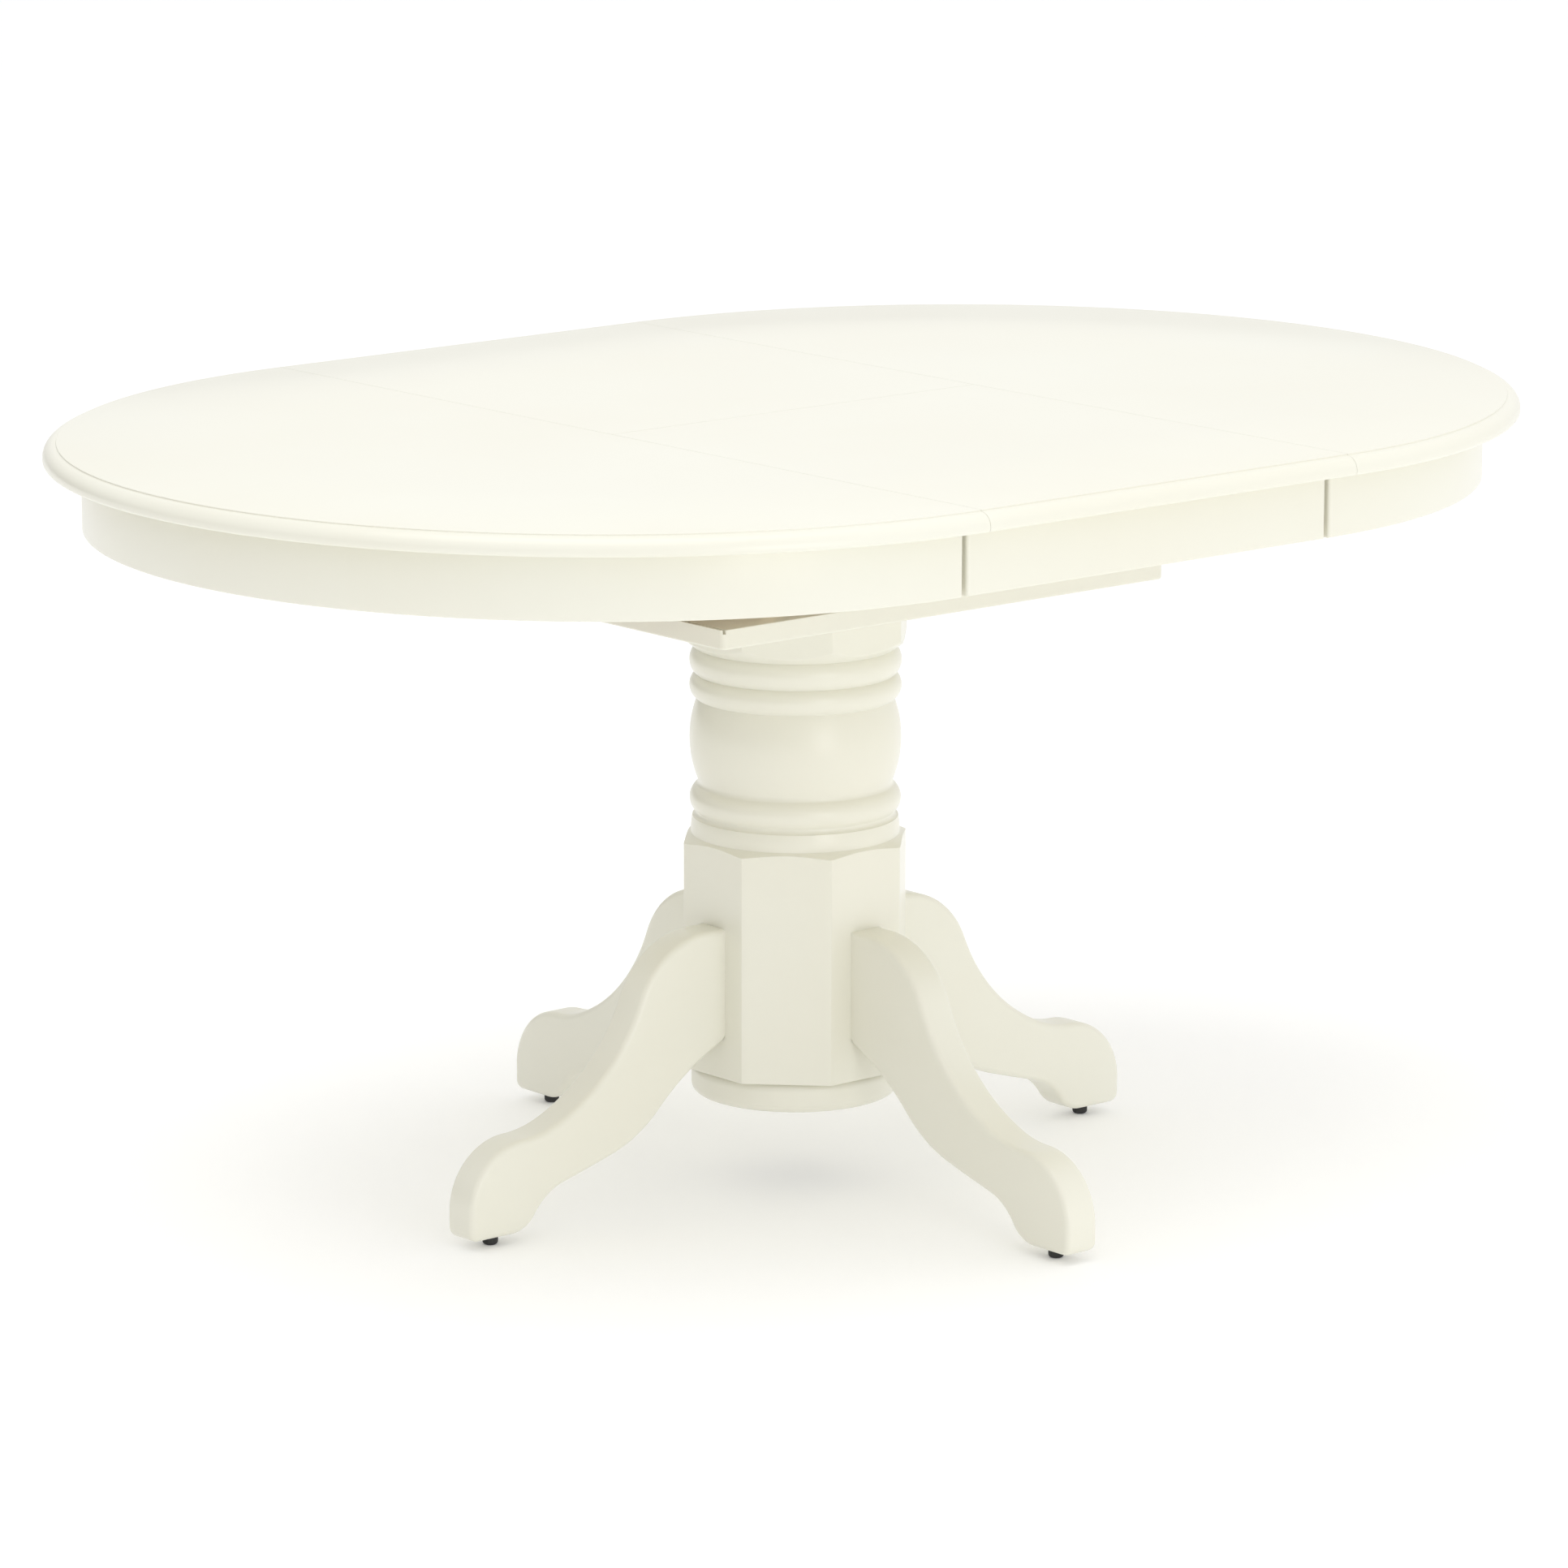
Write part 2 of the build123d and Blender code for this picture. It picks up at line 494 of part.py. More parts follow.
def rack_outline():
    """The right rack's outline: teeth point to -Y and mesh with the pinion's +Y side."""
    slope = tan(radians(PRESSURE_ANGLE))
    half_pitch_line = (RACK_PITCH / 2 - GEAR_BACKLASH) / 2
    tip_y = PITCH_RADIUS - TOOTH_ADDENDUM
    root_y = PITCH_RADIUS + TOOTH_DEDENDUM
    tip_half = half_pitch_line - slope * TOOTH_ADDENDUM
    root_half = half_pitch_line + slope * TOOTH_DEDENDUM
    back_y = root_y + RACK_DEPTH - 2
    points = [(RACK_START, back_y), (RACK_START, root_y)]
    for index in range(RACK_TEETH_START, RACK_TEETH_END):
        middle = index * RACK_PITCH + RACK_CENTRE_SHIFT
        points += [(middle - root_half, root_y), (middle - tip_half, tip_y)]
        points += [(middle + tip_half, tip_y), (middle + root_half, root_y)]
    points += [(TIE_X + TIE_THICKNESS, root_y), (TIE_X + TIE_THICKNESS, back_y)]
    return points


# At +Y the pinion shows a tooth or a space; the rack is shifted to sit tooth in space.
TOOTH_AT_Y = ((pi / 2 - pi / PINION_TEETH) / (2 * pi / PINION_TEETH)) % 1.0
RACK_CENTRE_SHIFT = RACK_PITCH / 2 if TOOTH_AT_Y < 0.25 or TOOTH_AT_Y > 0.75 else 0.0

with BuildPart() as rack:
    with BuildSketch(Plane.XY.offset(GEAR_BOTTOM)):
        with BuildLine():
            Polyline(*rack_outline(), close=True)
        make_face()
    extrude(amount=GEAR_THICKNESS)
    with BuildSketch(Plane.XY.offset(GEAR_BOTTOM)):
        with Locations((TIE_X + TIE_THICKNESS / 2, RACK_SCREW_Y)):
            Circle(SMALL_SCREW_RADIUS)
    extrude(amount=GEAR_THICKNESS, mode=Mode.SUBTRACT)

# ---- half tops, their aprons and sliding frames --------------------------------------
def edge_profile(outer, inner):
    """The section of a top: a flat board whose outer edge has a stepped roll above."""
    roll = TABLE_HEIGHT - EDGE_STEP - EDGE_ROUND
    under = EDGE_UNDER_ROUND
    Polyline(
        (outer - under, UNDERSIDE),
        (inner, UNDERSIDE),
        (inner, TABLE_HEIGHT),
        (outer - EDGE_ROUND, TABLE_HEIGHT),
        (outer - EDGE_ROUND, TABLE_HEIGHT - EDGE_STEP),
    )
    CenterArc((outer - EDGE_ROUND, roll), EDGE_ROUND, 0, 90)
    Line((outer, roll), (outer, UNDERSIDE + under))
    CenterArc((outer - under, UNDERSIDE + under), under, -90, 90)


RAIL_SCREW_XS = (260.0, 330.0, 400.0)
GROOVE_DEPTH = TONGUE_DEPTH + TONGUE_GAP
GROOVE_HEIGHT = TONGUE_HEIGHT + 2 * TONGUE_GAP
RAIL_YS = {
    "right": RAIL_CENTRE_Y - RAIL_WIDTH - RAIL_SIDE_GAP,
    "left": RAIL_CENTRE_Y + RAIL_WIDTH + RAIL_SIDE_GAP,
}


BLOCK_ANGLES = (-70.0, -42.0, -14.0, 14.0, 42.0, 70.0)  # round the curved apron, from +X
TURN = {"right": 0, "left": 180}
for side, turn in TURN.items():
    rail_y = RAIL_YS[side]
    # The groove is cut in the side that faces the fixed rail.
    toward_fixed = 1 if rail_y < RAIL_CENTRE_Y else -1
    groove_y = rail_y + toward_fixed * (RAIL_WIDTH + RAIL_SIDE_GAP - GROOVE_DEPTH) / 2
    screw_places = [(x, sign * rail_y) for x in RAIL_SCREW_XS for sign in (-1, 1)]
    centre_axis = Axis((HALF_LEAF, 0, 0), (0, 0, 1))

    with BuildPart() as top_half:
        with BuildSketch(Plane.XZ):
            with BuildLine():
                edge_profile(HALF_LEAF + TOP_RADIUS, HALF_LEAF)
            make_face()
        revolve(axis=centre_axis, revolution_arc=90)
        mirror(about=Plane.XZ)
        with BuildSketch(Plane.XY.offset(UNDERSIDE)):
            with Locations(*screw_places):
                Circle(TOP_SCREW_RADIUS)
        extrude(amount=TOP_SCREW_SINK + 1, mode=Mode.SUBTRACT)

    with BuildPart() as apron:
        with BuildSketch(Plane.XZ):
            with Locations((HALF_LEAF + (APRON_INNER + APRON_OUTER) / 2, (APRON_BOTTOM + UNDERSIDE) / 2)):
                Rectangle(APRON_THICKNESS, APRON_HEIGHT)
        revolve(axis=centre_axis, revolution_arc=90)
        mirror(about=Plane.XZ)
        upright = apron.edges().filter_by(Axis.Z)
        fillet([edge for edge in upright if abs(edge.center().Y) > APRON_OUTER - 1], APRON_END_ROUND)

    with BuildPart() as blocks:
        for angle in BLOCK_ANGLES:
            with BuildSketch(Plane.XY.offset(UNDERSIDE)):
                with Locations((HALF_LEAF, 0)):
                    with PolarLocations(APRON_INNER - BLOCK_WIDTH / 2 + 1, 1, start_angle=angle):
                        Rectangle(BLOCK_WIDTH, BLOCK_LENGTH)
            extrude(amount=-BLOCK_WIDTH)
        with BuildSketch(Plane.XY.offset(UNDERSIDE)):
            with Locations((HALF_LEAF, 0)):
                Circle(APRON_INNER)
        extrude(amount=-BLOCK_WIDTH, mode=Mode.INTERSECT)

    with BuildPart() as moving_rails:
        with BuildSketch(Plane.YZ.offset(MOVING_RAIL_START)):
            for sign in (-1, 1):
                with Locations((sign * rail_y, (RAIL_BOTTOM + UNDERSIDE) / 2)):
                    Rectangle(RAIL_WIDTH, RAIL_HEIGHT)
                with Locations((sign * groove_y, RAIL_TONGUE_Z)):
                    Rectangle(GROOVE_DEPTH, GROOVE_HEIGHT, mode=Mode.SUBTRACT)
        extrude(amount=MOVING_RAIL_END - MOVING_RAIL_START)
        with BuildSketch(Plane.XY.offset(RAIL_BOTTOM)):
            with Locations(*screw_places):
                Circle(TOP_SCREW_RADIUS + 0.2)
        extrude(amount=RAIL_HEIGHT, mode=Mode.SUBTRACT)
        with BuildSketch(Plane.XY.offset(RAIL_BOTTOM)):
            with Locations(*screw_places):
                Circle(SMALL_SCREW_HEAD_RADIUS)
        extrude(amount=TOP_SCREW_SINK, mode=Mode.SUBTRACT)

    with BuildPart() as rail_top_screws:
        with BuildSketch(Plane.XY.offset(RAIL_BOTTOM + TOP_SCREW_SINK)):
            with Locations(*screw_places):
                Circle(SMALL_SCREW_HEAD_RADIUS - 0.4)
        extrude(amount=-TOP_SCREW_HEAD)
        with BuildSketch(Plane.XY.offset(RAIL_BOTTOM + TOP_SCREW_SINK)):
            with Locations(*screw_places):
                Circle(TOP_SCREW_RADIUS)
        extrude(amount=RAIL_HEIGHT)

    with BuildPart() as cross_tie:
        with BuildSketch(Plane.XY.offset(TIE_BOTTOM)):
            with Locations((TIE_X + TIE_THICKNESS / 2, 0)):
                Rectangle(TIE_THICKNESS, 2 * (rail_y - RAIL_WIDTH / 2))
        extrude(amount=UNDERSIDE - TIE_BOTTOM)
        with BuildSketch(Plane.XY.offset(TIE_BOTTOM)):
            with Locations((TIE_X + TIE_THICKNESS / 2, RACK_SCREW_Y)):
                Circle(SMALL_SCREW_RADIUS)
        extrude(amount=RACK_SCREW_GRIP + 1, mode=Mode.SUBTRACT)
        # The other half's rails and the fixed rails pass through these notches.
        if side == "left":
            with BuildSketch(Plane.XY.offset(RAIL_BOTTOM - TIE_NOTCH_DROP)):
                for sign in (-1, 1):
                    notch_y = sign * (RAIL_CENTRE_Y - TIE_NOTCH_INWARD)
                    with Locations((TIE_X + TIE_THICKNESS / 2, notch_y)):
                        Rectangle(TIE_THICKNESS, 2 * RAIL_WIDTH + TIE_NOTCH_CLEAR)
            extrude(amount=UNDERSIDE - RAIL_BOTTOM + TIE_NOTCH_DROP, mode=Mode.SUBTRACT)

    with BuildPart() as rack_screw:
        with BuildSketch(Plane.XY.offset(GEAR_BOTTOM - RACK_SCREW_HEAD)):
            with Locations((TIE_X + TIE_THICKNESS / 2, RACK_SCREW_Y)):
                Circle(SMALL_SCREW_HEAD_RADIUS - 0.5)
        extrude(amount=RACK_SCREW_HEAD)
        with BuildSketch(Plane.XY.offset(GEAR_BOTTOM)):
            with Locations((TIE_X + TIE_THICKNESS / 2, RACK_SCREW_Y)):
                Circle(SMALL_SCREW_RADIUS)
        extrude(amount=GEAR_THICKNESS + RACK_SCREW_GRIP)

    half_pieces = {
        "top_half": top_half.part,
        "apron": apron.part,
        "apron_blocks": blocks.part,
        "moving_rails": moving_rails.part,
        "top_screws": rail_top_screws.part,
        "cross_tie": cross_tie.part,
        "rack": rack.part,
        "rack_screw": rack_screw.part,
    }
    for piece_name, piece in half_pieces.items():
        placed = Rotation(0, 0, turn) * piece
        placed.label = f"{piece_name}_{side}"
        export_step(placed, f"parts/{piece_name}_{side}.step")

# ---- folding leaf and its hinged aprons ----------------------------------------------
HINGE_X = (-150.0, 150.0)
HINGE_LENGTH = 60.0
BARREL_RADIUS = 3.2
PIN_RADIUS = 1.5
BARREL_Y = APRON_INNER - BARREL_RADIUS - 0.4
BARREL_Z = UNDERSIDE - BARREL_RADIUS - 0.4
WING_THICKNESS = 2.0
WING_WIDTH = 22.0
LEAF_APRON_HALF = HALF_LEAF - APRON_JOINT_GAP
LEAF_APRON_TOP = UNDERSIDE - APRON_TOP_GAP
WING_STEP = 0.5  # wings start this far past the barrel
KNUCKLE_GAP = 0.4
LEAF_WEB_REACH = 3.0  # the leaf wing's web runs this far past the barrel's radius
APRON_WEB_HEIGHT = 6.0
PIN_CLEAR = 0.05
CONCEALED_X = (-170.0, 0.0, 170.0)
CONCEALED_LENGTH = 60.0
CONCEALED_DEPTH = 14.0
CONCEALED_HEIGHT = 11.0
CONCEALED_POCKET = 26.0  # the cup's open middle
CONCEALED_FLOOR = 6.0
CONCEALED_WALL = 1.5
CONCEALED_Z = TABLE_HEIGHT - TOP_THICKNESS / 2


def knuckles(outer_pair):
    """Start and length along X of a hinge's knuckles: the outer pair or the middle one."""
    third = HINGE_LENGTH / 3
    if outer_pair:
        return [(x + offset, third - KNUCKLE_GAP) for x in HINGE_X for offset in (-third, third)]
    return [(x, third - KNUCKLE_GAP) for x in HINGE_X]


for side, turn in {"back": 0, "front": 180}.items():
    with BuildPart() as leaf_half:
        with BuildSketch(Plane.YZ.offset(-HALF_LEAF + LEAF_SIDE_GAP)):
            with BuildLine():
                edge_profile(TOP_RADIUS, LEAF_FOLD_GAP / 2)
            make_face()
        extrude(amount=LEAF_WIDTH - 2 * LEAF_SIDE_GAP)
        with BuildSketch(Plane.XZ.offset(-LEAF_FOLD_GAP / 2)):
            with Locations(*[(x, CONCEALED_Z) for x in CONCEALED_X]):
                Rectangle(CONCEALED_LENGTH, CONCEALED_HEIGHT)
        extrude(amount=-CONCEALED_DEPTH, mode=Mode.SUBTRACT)

    with BuildPart() as leaf_hinges:
        with BuildSketch(Plane.XZ.offset(-LEAF_FOLD_GAP / 2)):
            with Locations(*[(x, CONCEALED_Z) for x in CONCEALED_X]):
                Rectangle(CONCEALED_LENGTH, CONCEALED_HEIGHT)
        extrude(amount=-CONCEALED_DEPTH)
        with BuildSketch(Plane.XZ.offset(-LEAF_FOLD_GAP / 2)):
            with Locations(*[(x, CONCEALED_Z) for x in CONCEALED_X]):
                Rectangle(CONCEALED_POCKET, CONCEALED_HEIGHT - 2 * CONCEALED_WALL)
        extrude(amount=-CONCEALED_DEPTH + CONCEALED_FLOOR, mode=Mode.SUBTRACT)

    with BuildPart() as leaf_apron:
        with BuildSketch(Plane.YZ.offset(-LEAF_APRON_HALF)):
            with Locations(((APRON_INNER + APRON_OUTER) / 2, (APRON_BOTTOM + LEAF_APRON_TOP) / 2)):
                Rectangle(APRON_THICKNESS, LEAF_APRON_TOP - APRON_BOTTOM)
        extrude(amount=2 * LEAF_APRON_HALF)
        upright = leaf_apron.edges().filter_by(Axis.Z)
        fillet([edge for edge in upright if edge.center().Y > APRON_OUTER - 1], APRON_END_ROUND)

    with BuildPart() as hinge_leaf_wings:
        for middle, length in knuckles(True):
            with BuildSketch(Plane.YZ.offset(middle - length / 2)):
                with Locations((BARREL_Y, BARREL_Z)):
                    Circle(BARREL_RADIUS)
                web = BARREL_RADIUS + LEAF_WEB_REACH
                with Locations((BARREL_Y - web / 2, UNDERSIDE - WING_THICKNESS / 2)):
                    Rectangle(web, WING_THICKNESS)
                with Locations((BARREL_Y, BARREL_Z)):
                    Circle(PIN_RADIUS + PIN_CLEAR, mode=Mode.SUBTRACT)
            extrude(amount=length)
        for x in HINGE_X:
            with BuildSketch(Plane.XY.offset(UNDERSIDE - WING_THICKNESS)):
                with Locations((x, BARREL_Y - BARREL_RADIUS - WING_STEP - WING_WIDTH / 2)):
                    Rectangle(HINGE_LENGTH - KNUCKLE_GAP, WING_WIDTH)
            extrude(amount=WING_THICKNESS)

    with BuildPart() as hinge_apron_wings:
        for middle, length in knuckles(False):
            with BuildSketch(Plane.YZ.offset(middle - length / 2)):
                with Locations((BARREL_Y, BARREL_Z)):
                    Circle(BARREL_RADIUS)
                with Locations((APRON_INNER - WING_THICKNESS / 2, BARREL_Z - APRON_WEB_HEIGHT / 2)):
                    Rectangle(WING_THICKNESS, APRON_WEB_HEIGHT)
                with Locations((BARREL_Y, BARREL_Z)):
                    Circle(PIN_RADIUS + PIN_CLEAR, mode=Mode.SUBTRACT)
            extrude(amount=length)
        for x in HINGE_X:
            with BuildSketch(Plane.XZ.offset(-APRON_INNER)):
                with Locations((x, BARREL_Z - BARREL_RADIUS - WING_STEP - WING_WIDTH / 2)):
                    Rectangle(HINGE_LENGTH - KNUCKLE_GAP, WING_WIDTH)
            extrude(amount=WING_THICKNESS)

    with BuildPart() as hinge_pins:
        for x in HINGE_X:
            with BuildSketch(Plane.YZ.offset(x - HINGE_LENGTH / 2)):
                with Locations((BARREL_Y, BARREL_Z)):
                    Circle(PIN_RADIUS)
            extrude(amount=HINGE_LENGTH)

    leaf_pieces = {
        "leaf": leaf_half.part,
        "leaf_hinges": leaf_hinges.part,
        "leaf_apron": leaf_apron.part,
        "hinge_leaf_wings": hinge_leaf_wings.part,
        "hinge_apron_wings": hinge_apron_wings.part,
        "hinge_pins": hinge_pins.part,
    }
    for piece_name, piece in leaf_pieces.items():
        placed = Rotation(0, 0, turn) * piece
        placed.label = f"{piece_name}_{side}"
        export_step(placed, f"parts/{piece_name}_{side}.step")
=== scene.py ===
"""Looks of an oval extending pedestal table: paint, bare wood, hardware, floor, light and camera."""

import json
import math

import bmesh
import bpy
import numpy as np
from mathutils import Matrix, Vector

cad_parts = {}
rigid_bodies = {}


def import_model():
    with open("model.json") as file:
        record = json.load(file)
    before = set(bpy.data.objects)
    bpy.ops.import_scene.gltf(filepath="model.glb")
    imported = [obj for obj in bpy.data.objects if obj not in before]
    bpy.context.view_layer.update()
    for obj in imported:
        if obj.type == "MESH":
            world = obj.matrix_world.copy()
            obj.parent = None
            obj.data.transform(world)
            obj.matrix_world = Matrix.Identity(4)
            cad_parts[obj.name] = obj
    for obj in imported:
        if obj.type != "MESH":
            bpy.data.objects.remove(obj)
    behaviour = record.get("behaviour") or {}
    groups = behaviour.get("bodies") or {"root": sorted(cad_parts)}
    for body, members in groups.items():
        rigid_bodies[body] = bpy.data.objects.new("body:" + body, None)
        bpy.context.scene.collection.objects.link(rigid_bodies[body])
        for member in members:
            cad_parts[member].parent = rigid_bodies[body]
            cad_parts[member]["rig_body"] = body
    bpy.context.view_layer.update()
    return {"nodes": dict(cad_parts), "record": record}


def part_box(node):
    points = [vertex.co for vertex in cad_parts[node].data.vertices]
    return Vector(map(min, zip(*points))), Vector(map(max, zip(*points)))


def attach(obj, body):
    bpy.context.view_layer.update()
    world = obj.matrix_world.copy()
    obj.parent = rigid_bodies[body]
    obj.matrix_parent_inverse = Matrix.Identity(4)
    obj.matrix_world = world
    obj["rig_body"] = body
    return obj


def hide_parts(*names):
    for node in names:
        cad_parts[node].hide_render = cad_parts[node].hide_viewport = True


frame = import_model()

bl_info = {
    "name": "Pedestal table",
    "version": (1, 0, 0),
    "blender": (4, 5, 0),
    "location": "View3D > Sidebar > Table",
    "description": "Builds the visible surfaces of an oval extending pedestal table",
    "category": "Object",
}

MM = 0.001
SLOTS = {entry["node"]: entry["material_slot"] for entry in frame["record"]["subparts"]}


def node_box(name):
    """Lowest and highest corner of a node, in millimetres."""
    low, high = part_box(name)
    return np.array(low) / MM, np.array(high) / MM


# ---- sizes read from the frame, in millimetres ----------------------------------------
TOP_LOW, TOP_HIGH = node_box("top_half_right")
LEAF_LOW, LEAF_HIGH = node_box("leaf_back")
APRON_LOW, APRON_HIGH = node_box("apron_right")
LEAF_APRON_LOW, LEAF_APRON_HIGH = node_box("leaf_apron_back")
COLUMN_LOW, COLUMN_HIGH = node_box("column")
DISC_LOW, DISC_HIGH = node_box("base_disc")
LEG_LOW, LEG_HIGH = node_box("leg_right")
GLIDE_HIGH = node_box("glides")[1]
CUP_LOW, CUP_HIGH = node_box("leaf_hinges_back")

SEAM_X = TOP_LOW[0]
TOP_RADIUS = TOP_HIGH[1]
TABLE_TOP = TOP_HIGH[2]
UNDERSIDE = TOP_LOW[2]
APRON_OUTER = APRON_HIGH[1]
FLAT = COLUMN_HIGH[0]
GLIDE_RADIUS = 7.5
GLIDE_CENTRE = GLIDE_HIGH[0] - GLIDE_RADIUS

# ---- sizes of the mouldings and rounds, in millimetres --------------------------------
ROLL_RADIUS = 13.0
ROLL_STEP = 1.5
UNDER_ROUND = 3.5
APRON_THICKNESS = 19.0
APRON_END_ROUND = 3.0
DISC_RIM_ROUND = 9.0
GLIDE_ROUND = 3.5
FOOT_LIFT = 10.0
CAVITY_HALF = 60.0
CAVITY_TOP = 330.0
DISC_HOLE = 45.0
CUP_DEPTH = CUP_HIGH[1] - CUP_LOW[1]
CUP_HALF_LENGTH = 30.0
CUP_XS = (-170.0, 0.0, 170.0)


class TableLooks(bpy.types.PropertyGroup):
    """What a user would change about the table's finish and its studio."""

    paint: bpy.props.FloatVectorProperty(
        name="Paint",
        description="Colour of the sprayed enamel, as linear RGB",
        subtype="COLOR",
        size=3,
        min=0.0,
        max=1.0,
        default=(0.855, 0.845, 0.745),
    )
    paint_roughness: bpy.props.FloatProperty(
        name="Paint roughness",
        description="Roughness of the satin enamel, 0.25 for semi-gloss to 0.5 for eggshell",
        min=0.05,
        max=1.0,
        default=0.32,
    )
    peel: bpy.props.FloatProperty(
        name="Orange peel",
        description="Size of the ripple that a spray gun leaves in the enamel",
        default=2.2 * MM,
        min=0.2 * MM,
        unit="LENGTH",
    )
    eased_edge: bpy.props.FloatProperty(
        name="Eased edge",
        # Radius that sanding leaves on the aprons' edges
        description="Radius that sanding leaves on the aprons' and board's edges",
        default=1.6 * MM,
        min=0.1 * MM,
        max=4.0 * MM,
        unit="LENGTH",
    )
    floor_size: bpy.props.FloatProperty(
        name="Floor size",
        description="Side of the square studio floor",
        default=24.0,
        min=4.0,
        unit="LENGTH",
    )


# ---- shapes worked out on grids --------------------------------------------------------
def arc(centre, radius, start, end, count):
    """Points of a circular arc: centre + radius (cos a, sin a), for a from start to end in degrees."""
    angle = np.radians(np.linspace(start, end, count))
    return np.stack([centre[0] + radius * np.cos(angle), centre[1] + radius * np.sin(angle)], 1)


def around(section, centre_x, start, end, count):
    """Section (r, z) turned about the upright line x = centre_x: (centre_x + r cos a, r sin a, z)."""
    angle = np.radians(np.linspace(start, end, count))[:, None]
    r, z = section[None, :, 0], section[None, :, 1]
    return np.stack([centre_x + r * np.cos(angle), r * np.sin(angle), z + 0 * angle], 2)


def along(section, stations):
    """Section (y, z) carried straight along X to each station x: (x, y, z)."""
    x = np.asarray(stations, float)[:, None]
    y, z = section[None, :, 0], section[None, :, 1]
    return np.stack([x + 0 * y, y + 0 * x, z + 0 * x], 2)


def half_turn(points):
    """The same surface turned 180 degrees about Z: (-x, -y, z)."""
    return points * np.array([-1.0, -1.0, 1.0])


def quarter_turns(points, turns):
    """The same surface turned about Z by a number of right angles."""
    for _ in range(turns):
        points = np.stack([-points[..., 1], points[..., 0], points[..., 2]], -1)
    return points


def grid_faces(rows, columns, wrap_rows, wrap_columns, start=0):
    """Quads of a grid of rows x columns vertices, joined round where a direction wraps."""
    i = np.arange(rows if wrap_rows else rows - 1)[:, None]
    j = np.arange(columns if wrap_columns else columns - 1)[None, :]
    i2, j2 = (i + 1) % rows, (j + 1) % columns
    quads = np.stack([i * columns + j, i * columns + j2, i2 * columns + j2, i2 * columns + j], -1)
    return (quads.reshape(-1, 4) + start).tolist()


def build_piece(name, patches, sharp_degrees=32.0):
    """Mesh object from patches of (points, wrap_rows, wrap_columns, capped): points[i, j] is the surface
    at the two parameters i and j, in millimetres, and capped closes its first and last row with a face."""
    vertices, faces = [], []
    for points, wrap_rows, wrap_columns, capped in patches:
        rows, columns = points.shape[:2]
        start = sum(len(v) for v in vertices)
        vertices.append(points.reshape(-1, 3) * MM)
        faces += grid_faces(rows, columns, wrap_rows, wrap_columns, start)
        if capped:
            faces.append(list(range(start, start + columns)))
            faces.append(list(range(start + (rows - 1) * columns, start + rows * columns)))
    mesh = bpy.data.meshes.new(name)
    mesh.from_pydata(np.concatenate(vertices).tolist(), [], faces)
    work = bmesh.new()
    work.from_mesh(mesh)
    bmesh.ops.remove_doubles(work, verts=work.verts, dist=2e-6)
    bmesh.ops.dissolve_degenerate(work, edges=work.edges, dist=1e-6)
    bmesh.ops.recalc_face_normals(work, faces=work.faces)
    work.to_mesh(mesh)
    work.free()
    if not mesh.polygons:
        raise RuntimeError(f"{name} has no faces")
    mesh.shade_smooth()
    mesh.set_sharp_from_angle(angle=math.radians(sharp_degrees))
    piece = bpy.data.objects.new(name, mesh)
    bpy.context.scene.collection.objects.link(piece)
    return piece


def seat_piece(piece, node, material):
    """Gives a finished piece its material and its body, and hides the node that it stands for."""
    piece.data.materials.append(material)
    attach(piece, frame["nodes"][node]["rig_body"])
    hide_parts(node)


def rounded_rectangle(low, high, radius, count=5):
    """Closed section of a rectangle whose four corners are arcs of the same radius."""
    corners = [
        ((high[0] - radius, low[1] + radius), -90),
        ((high[0] - radius, high[1] - radius), 0),
        ((low[0] + radius, high[1] - radius), 90),
        ((low[0] + radius, low[1] + radius), 180),
    ]
    return np.concatenate([arc(centre, radius, start, start + 90, count) for centre, start in corners])


def edge_section(outer, inner):
    """Section of the top from its inner end, over the flat, down the stepped roll and back underneath."""
    roll_z = TABLE_TOP - ROLL_STEP - ROLL_RADIUS
    inner_end = [(inner, TABLE_TOP), (outer - 0.4 * TOP_RADIUS, TABLE_TOP)]
    step_top = arc((outer - ROLL_RADIUS - 0.5, TABLE_TOP - 0.5), 0.5, 90, 0, 4)
    step_foot = arc((outer - ROLL_RADIUS + 0.5, TABLE_TOP - ROLL_STEP + 0.5), 0.5, 180, 262, 4)
    roll = arc((outer - ROLL_RADIUS, roll_z), ROLL_RADIUS, 84, 0, 20)
    under = arc((outer - UNDER_ROUND, UNDERSIDE + UNDER_ROUND), UNDER_ROUND, 0, -90, 8)
    back = [(outer - 0.4 * TOP_RADIUS, UNDERSIDE), (inner, UNDERSIDE)]
    return np.concatenate([inner_end, step_top, step_foot, roll, under, back])


def tangent_arc(start, end, heading, count):
    """Arc from start to end that leaves start along heading, and its heading at the end. The centre is
    on the normal at start, at half the chord squared over the chord's part along that normal."""
    start, end = np.array(start, float), np.array(end, float)
    normal = np.array([-heading[1], heading[0]])
    chord = end - start
    radius = (chord @ chord) / (2 * (chord @ normal))
    centre = start + radius * normal
    first = math.atan2(*(start - centre)[::-1])
    sweep = math.atan2(*(end - centre)[::-1]) - first
    sweep = (sweep + math.pi) % (2 * math.pi) - math.pi
    angle = first + sweep * np.linspace(0, 1, count)
    points = centre + abs(radius) * np.stack([np.cos(angle), np.sin(angle)], 1)
    turn = np.array([[math.cos(sweep), -math.sin(sweep)], [math.sin(sweep), math.cos(sweep)]])
    return points, turn @ np.array(heading, float)


# Where the leg's arcs meet, as (distance from the column's axis, height).
LEG_TOP = 268.0
LEG_BACK = [(126, LEG_TOP), (208, 213), (314, 108.5), (352, 101), (417, 40)]
LEG_UNDER = [(366, 10), (338, 25), (303, 50), (243, 67), (185, 102), (105, 157)]
TOE_CENTRE = (407, 20)
TOE_RADIUS = 10.0
LEG_EDGE_ROUND = 6.0


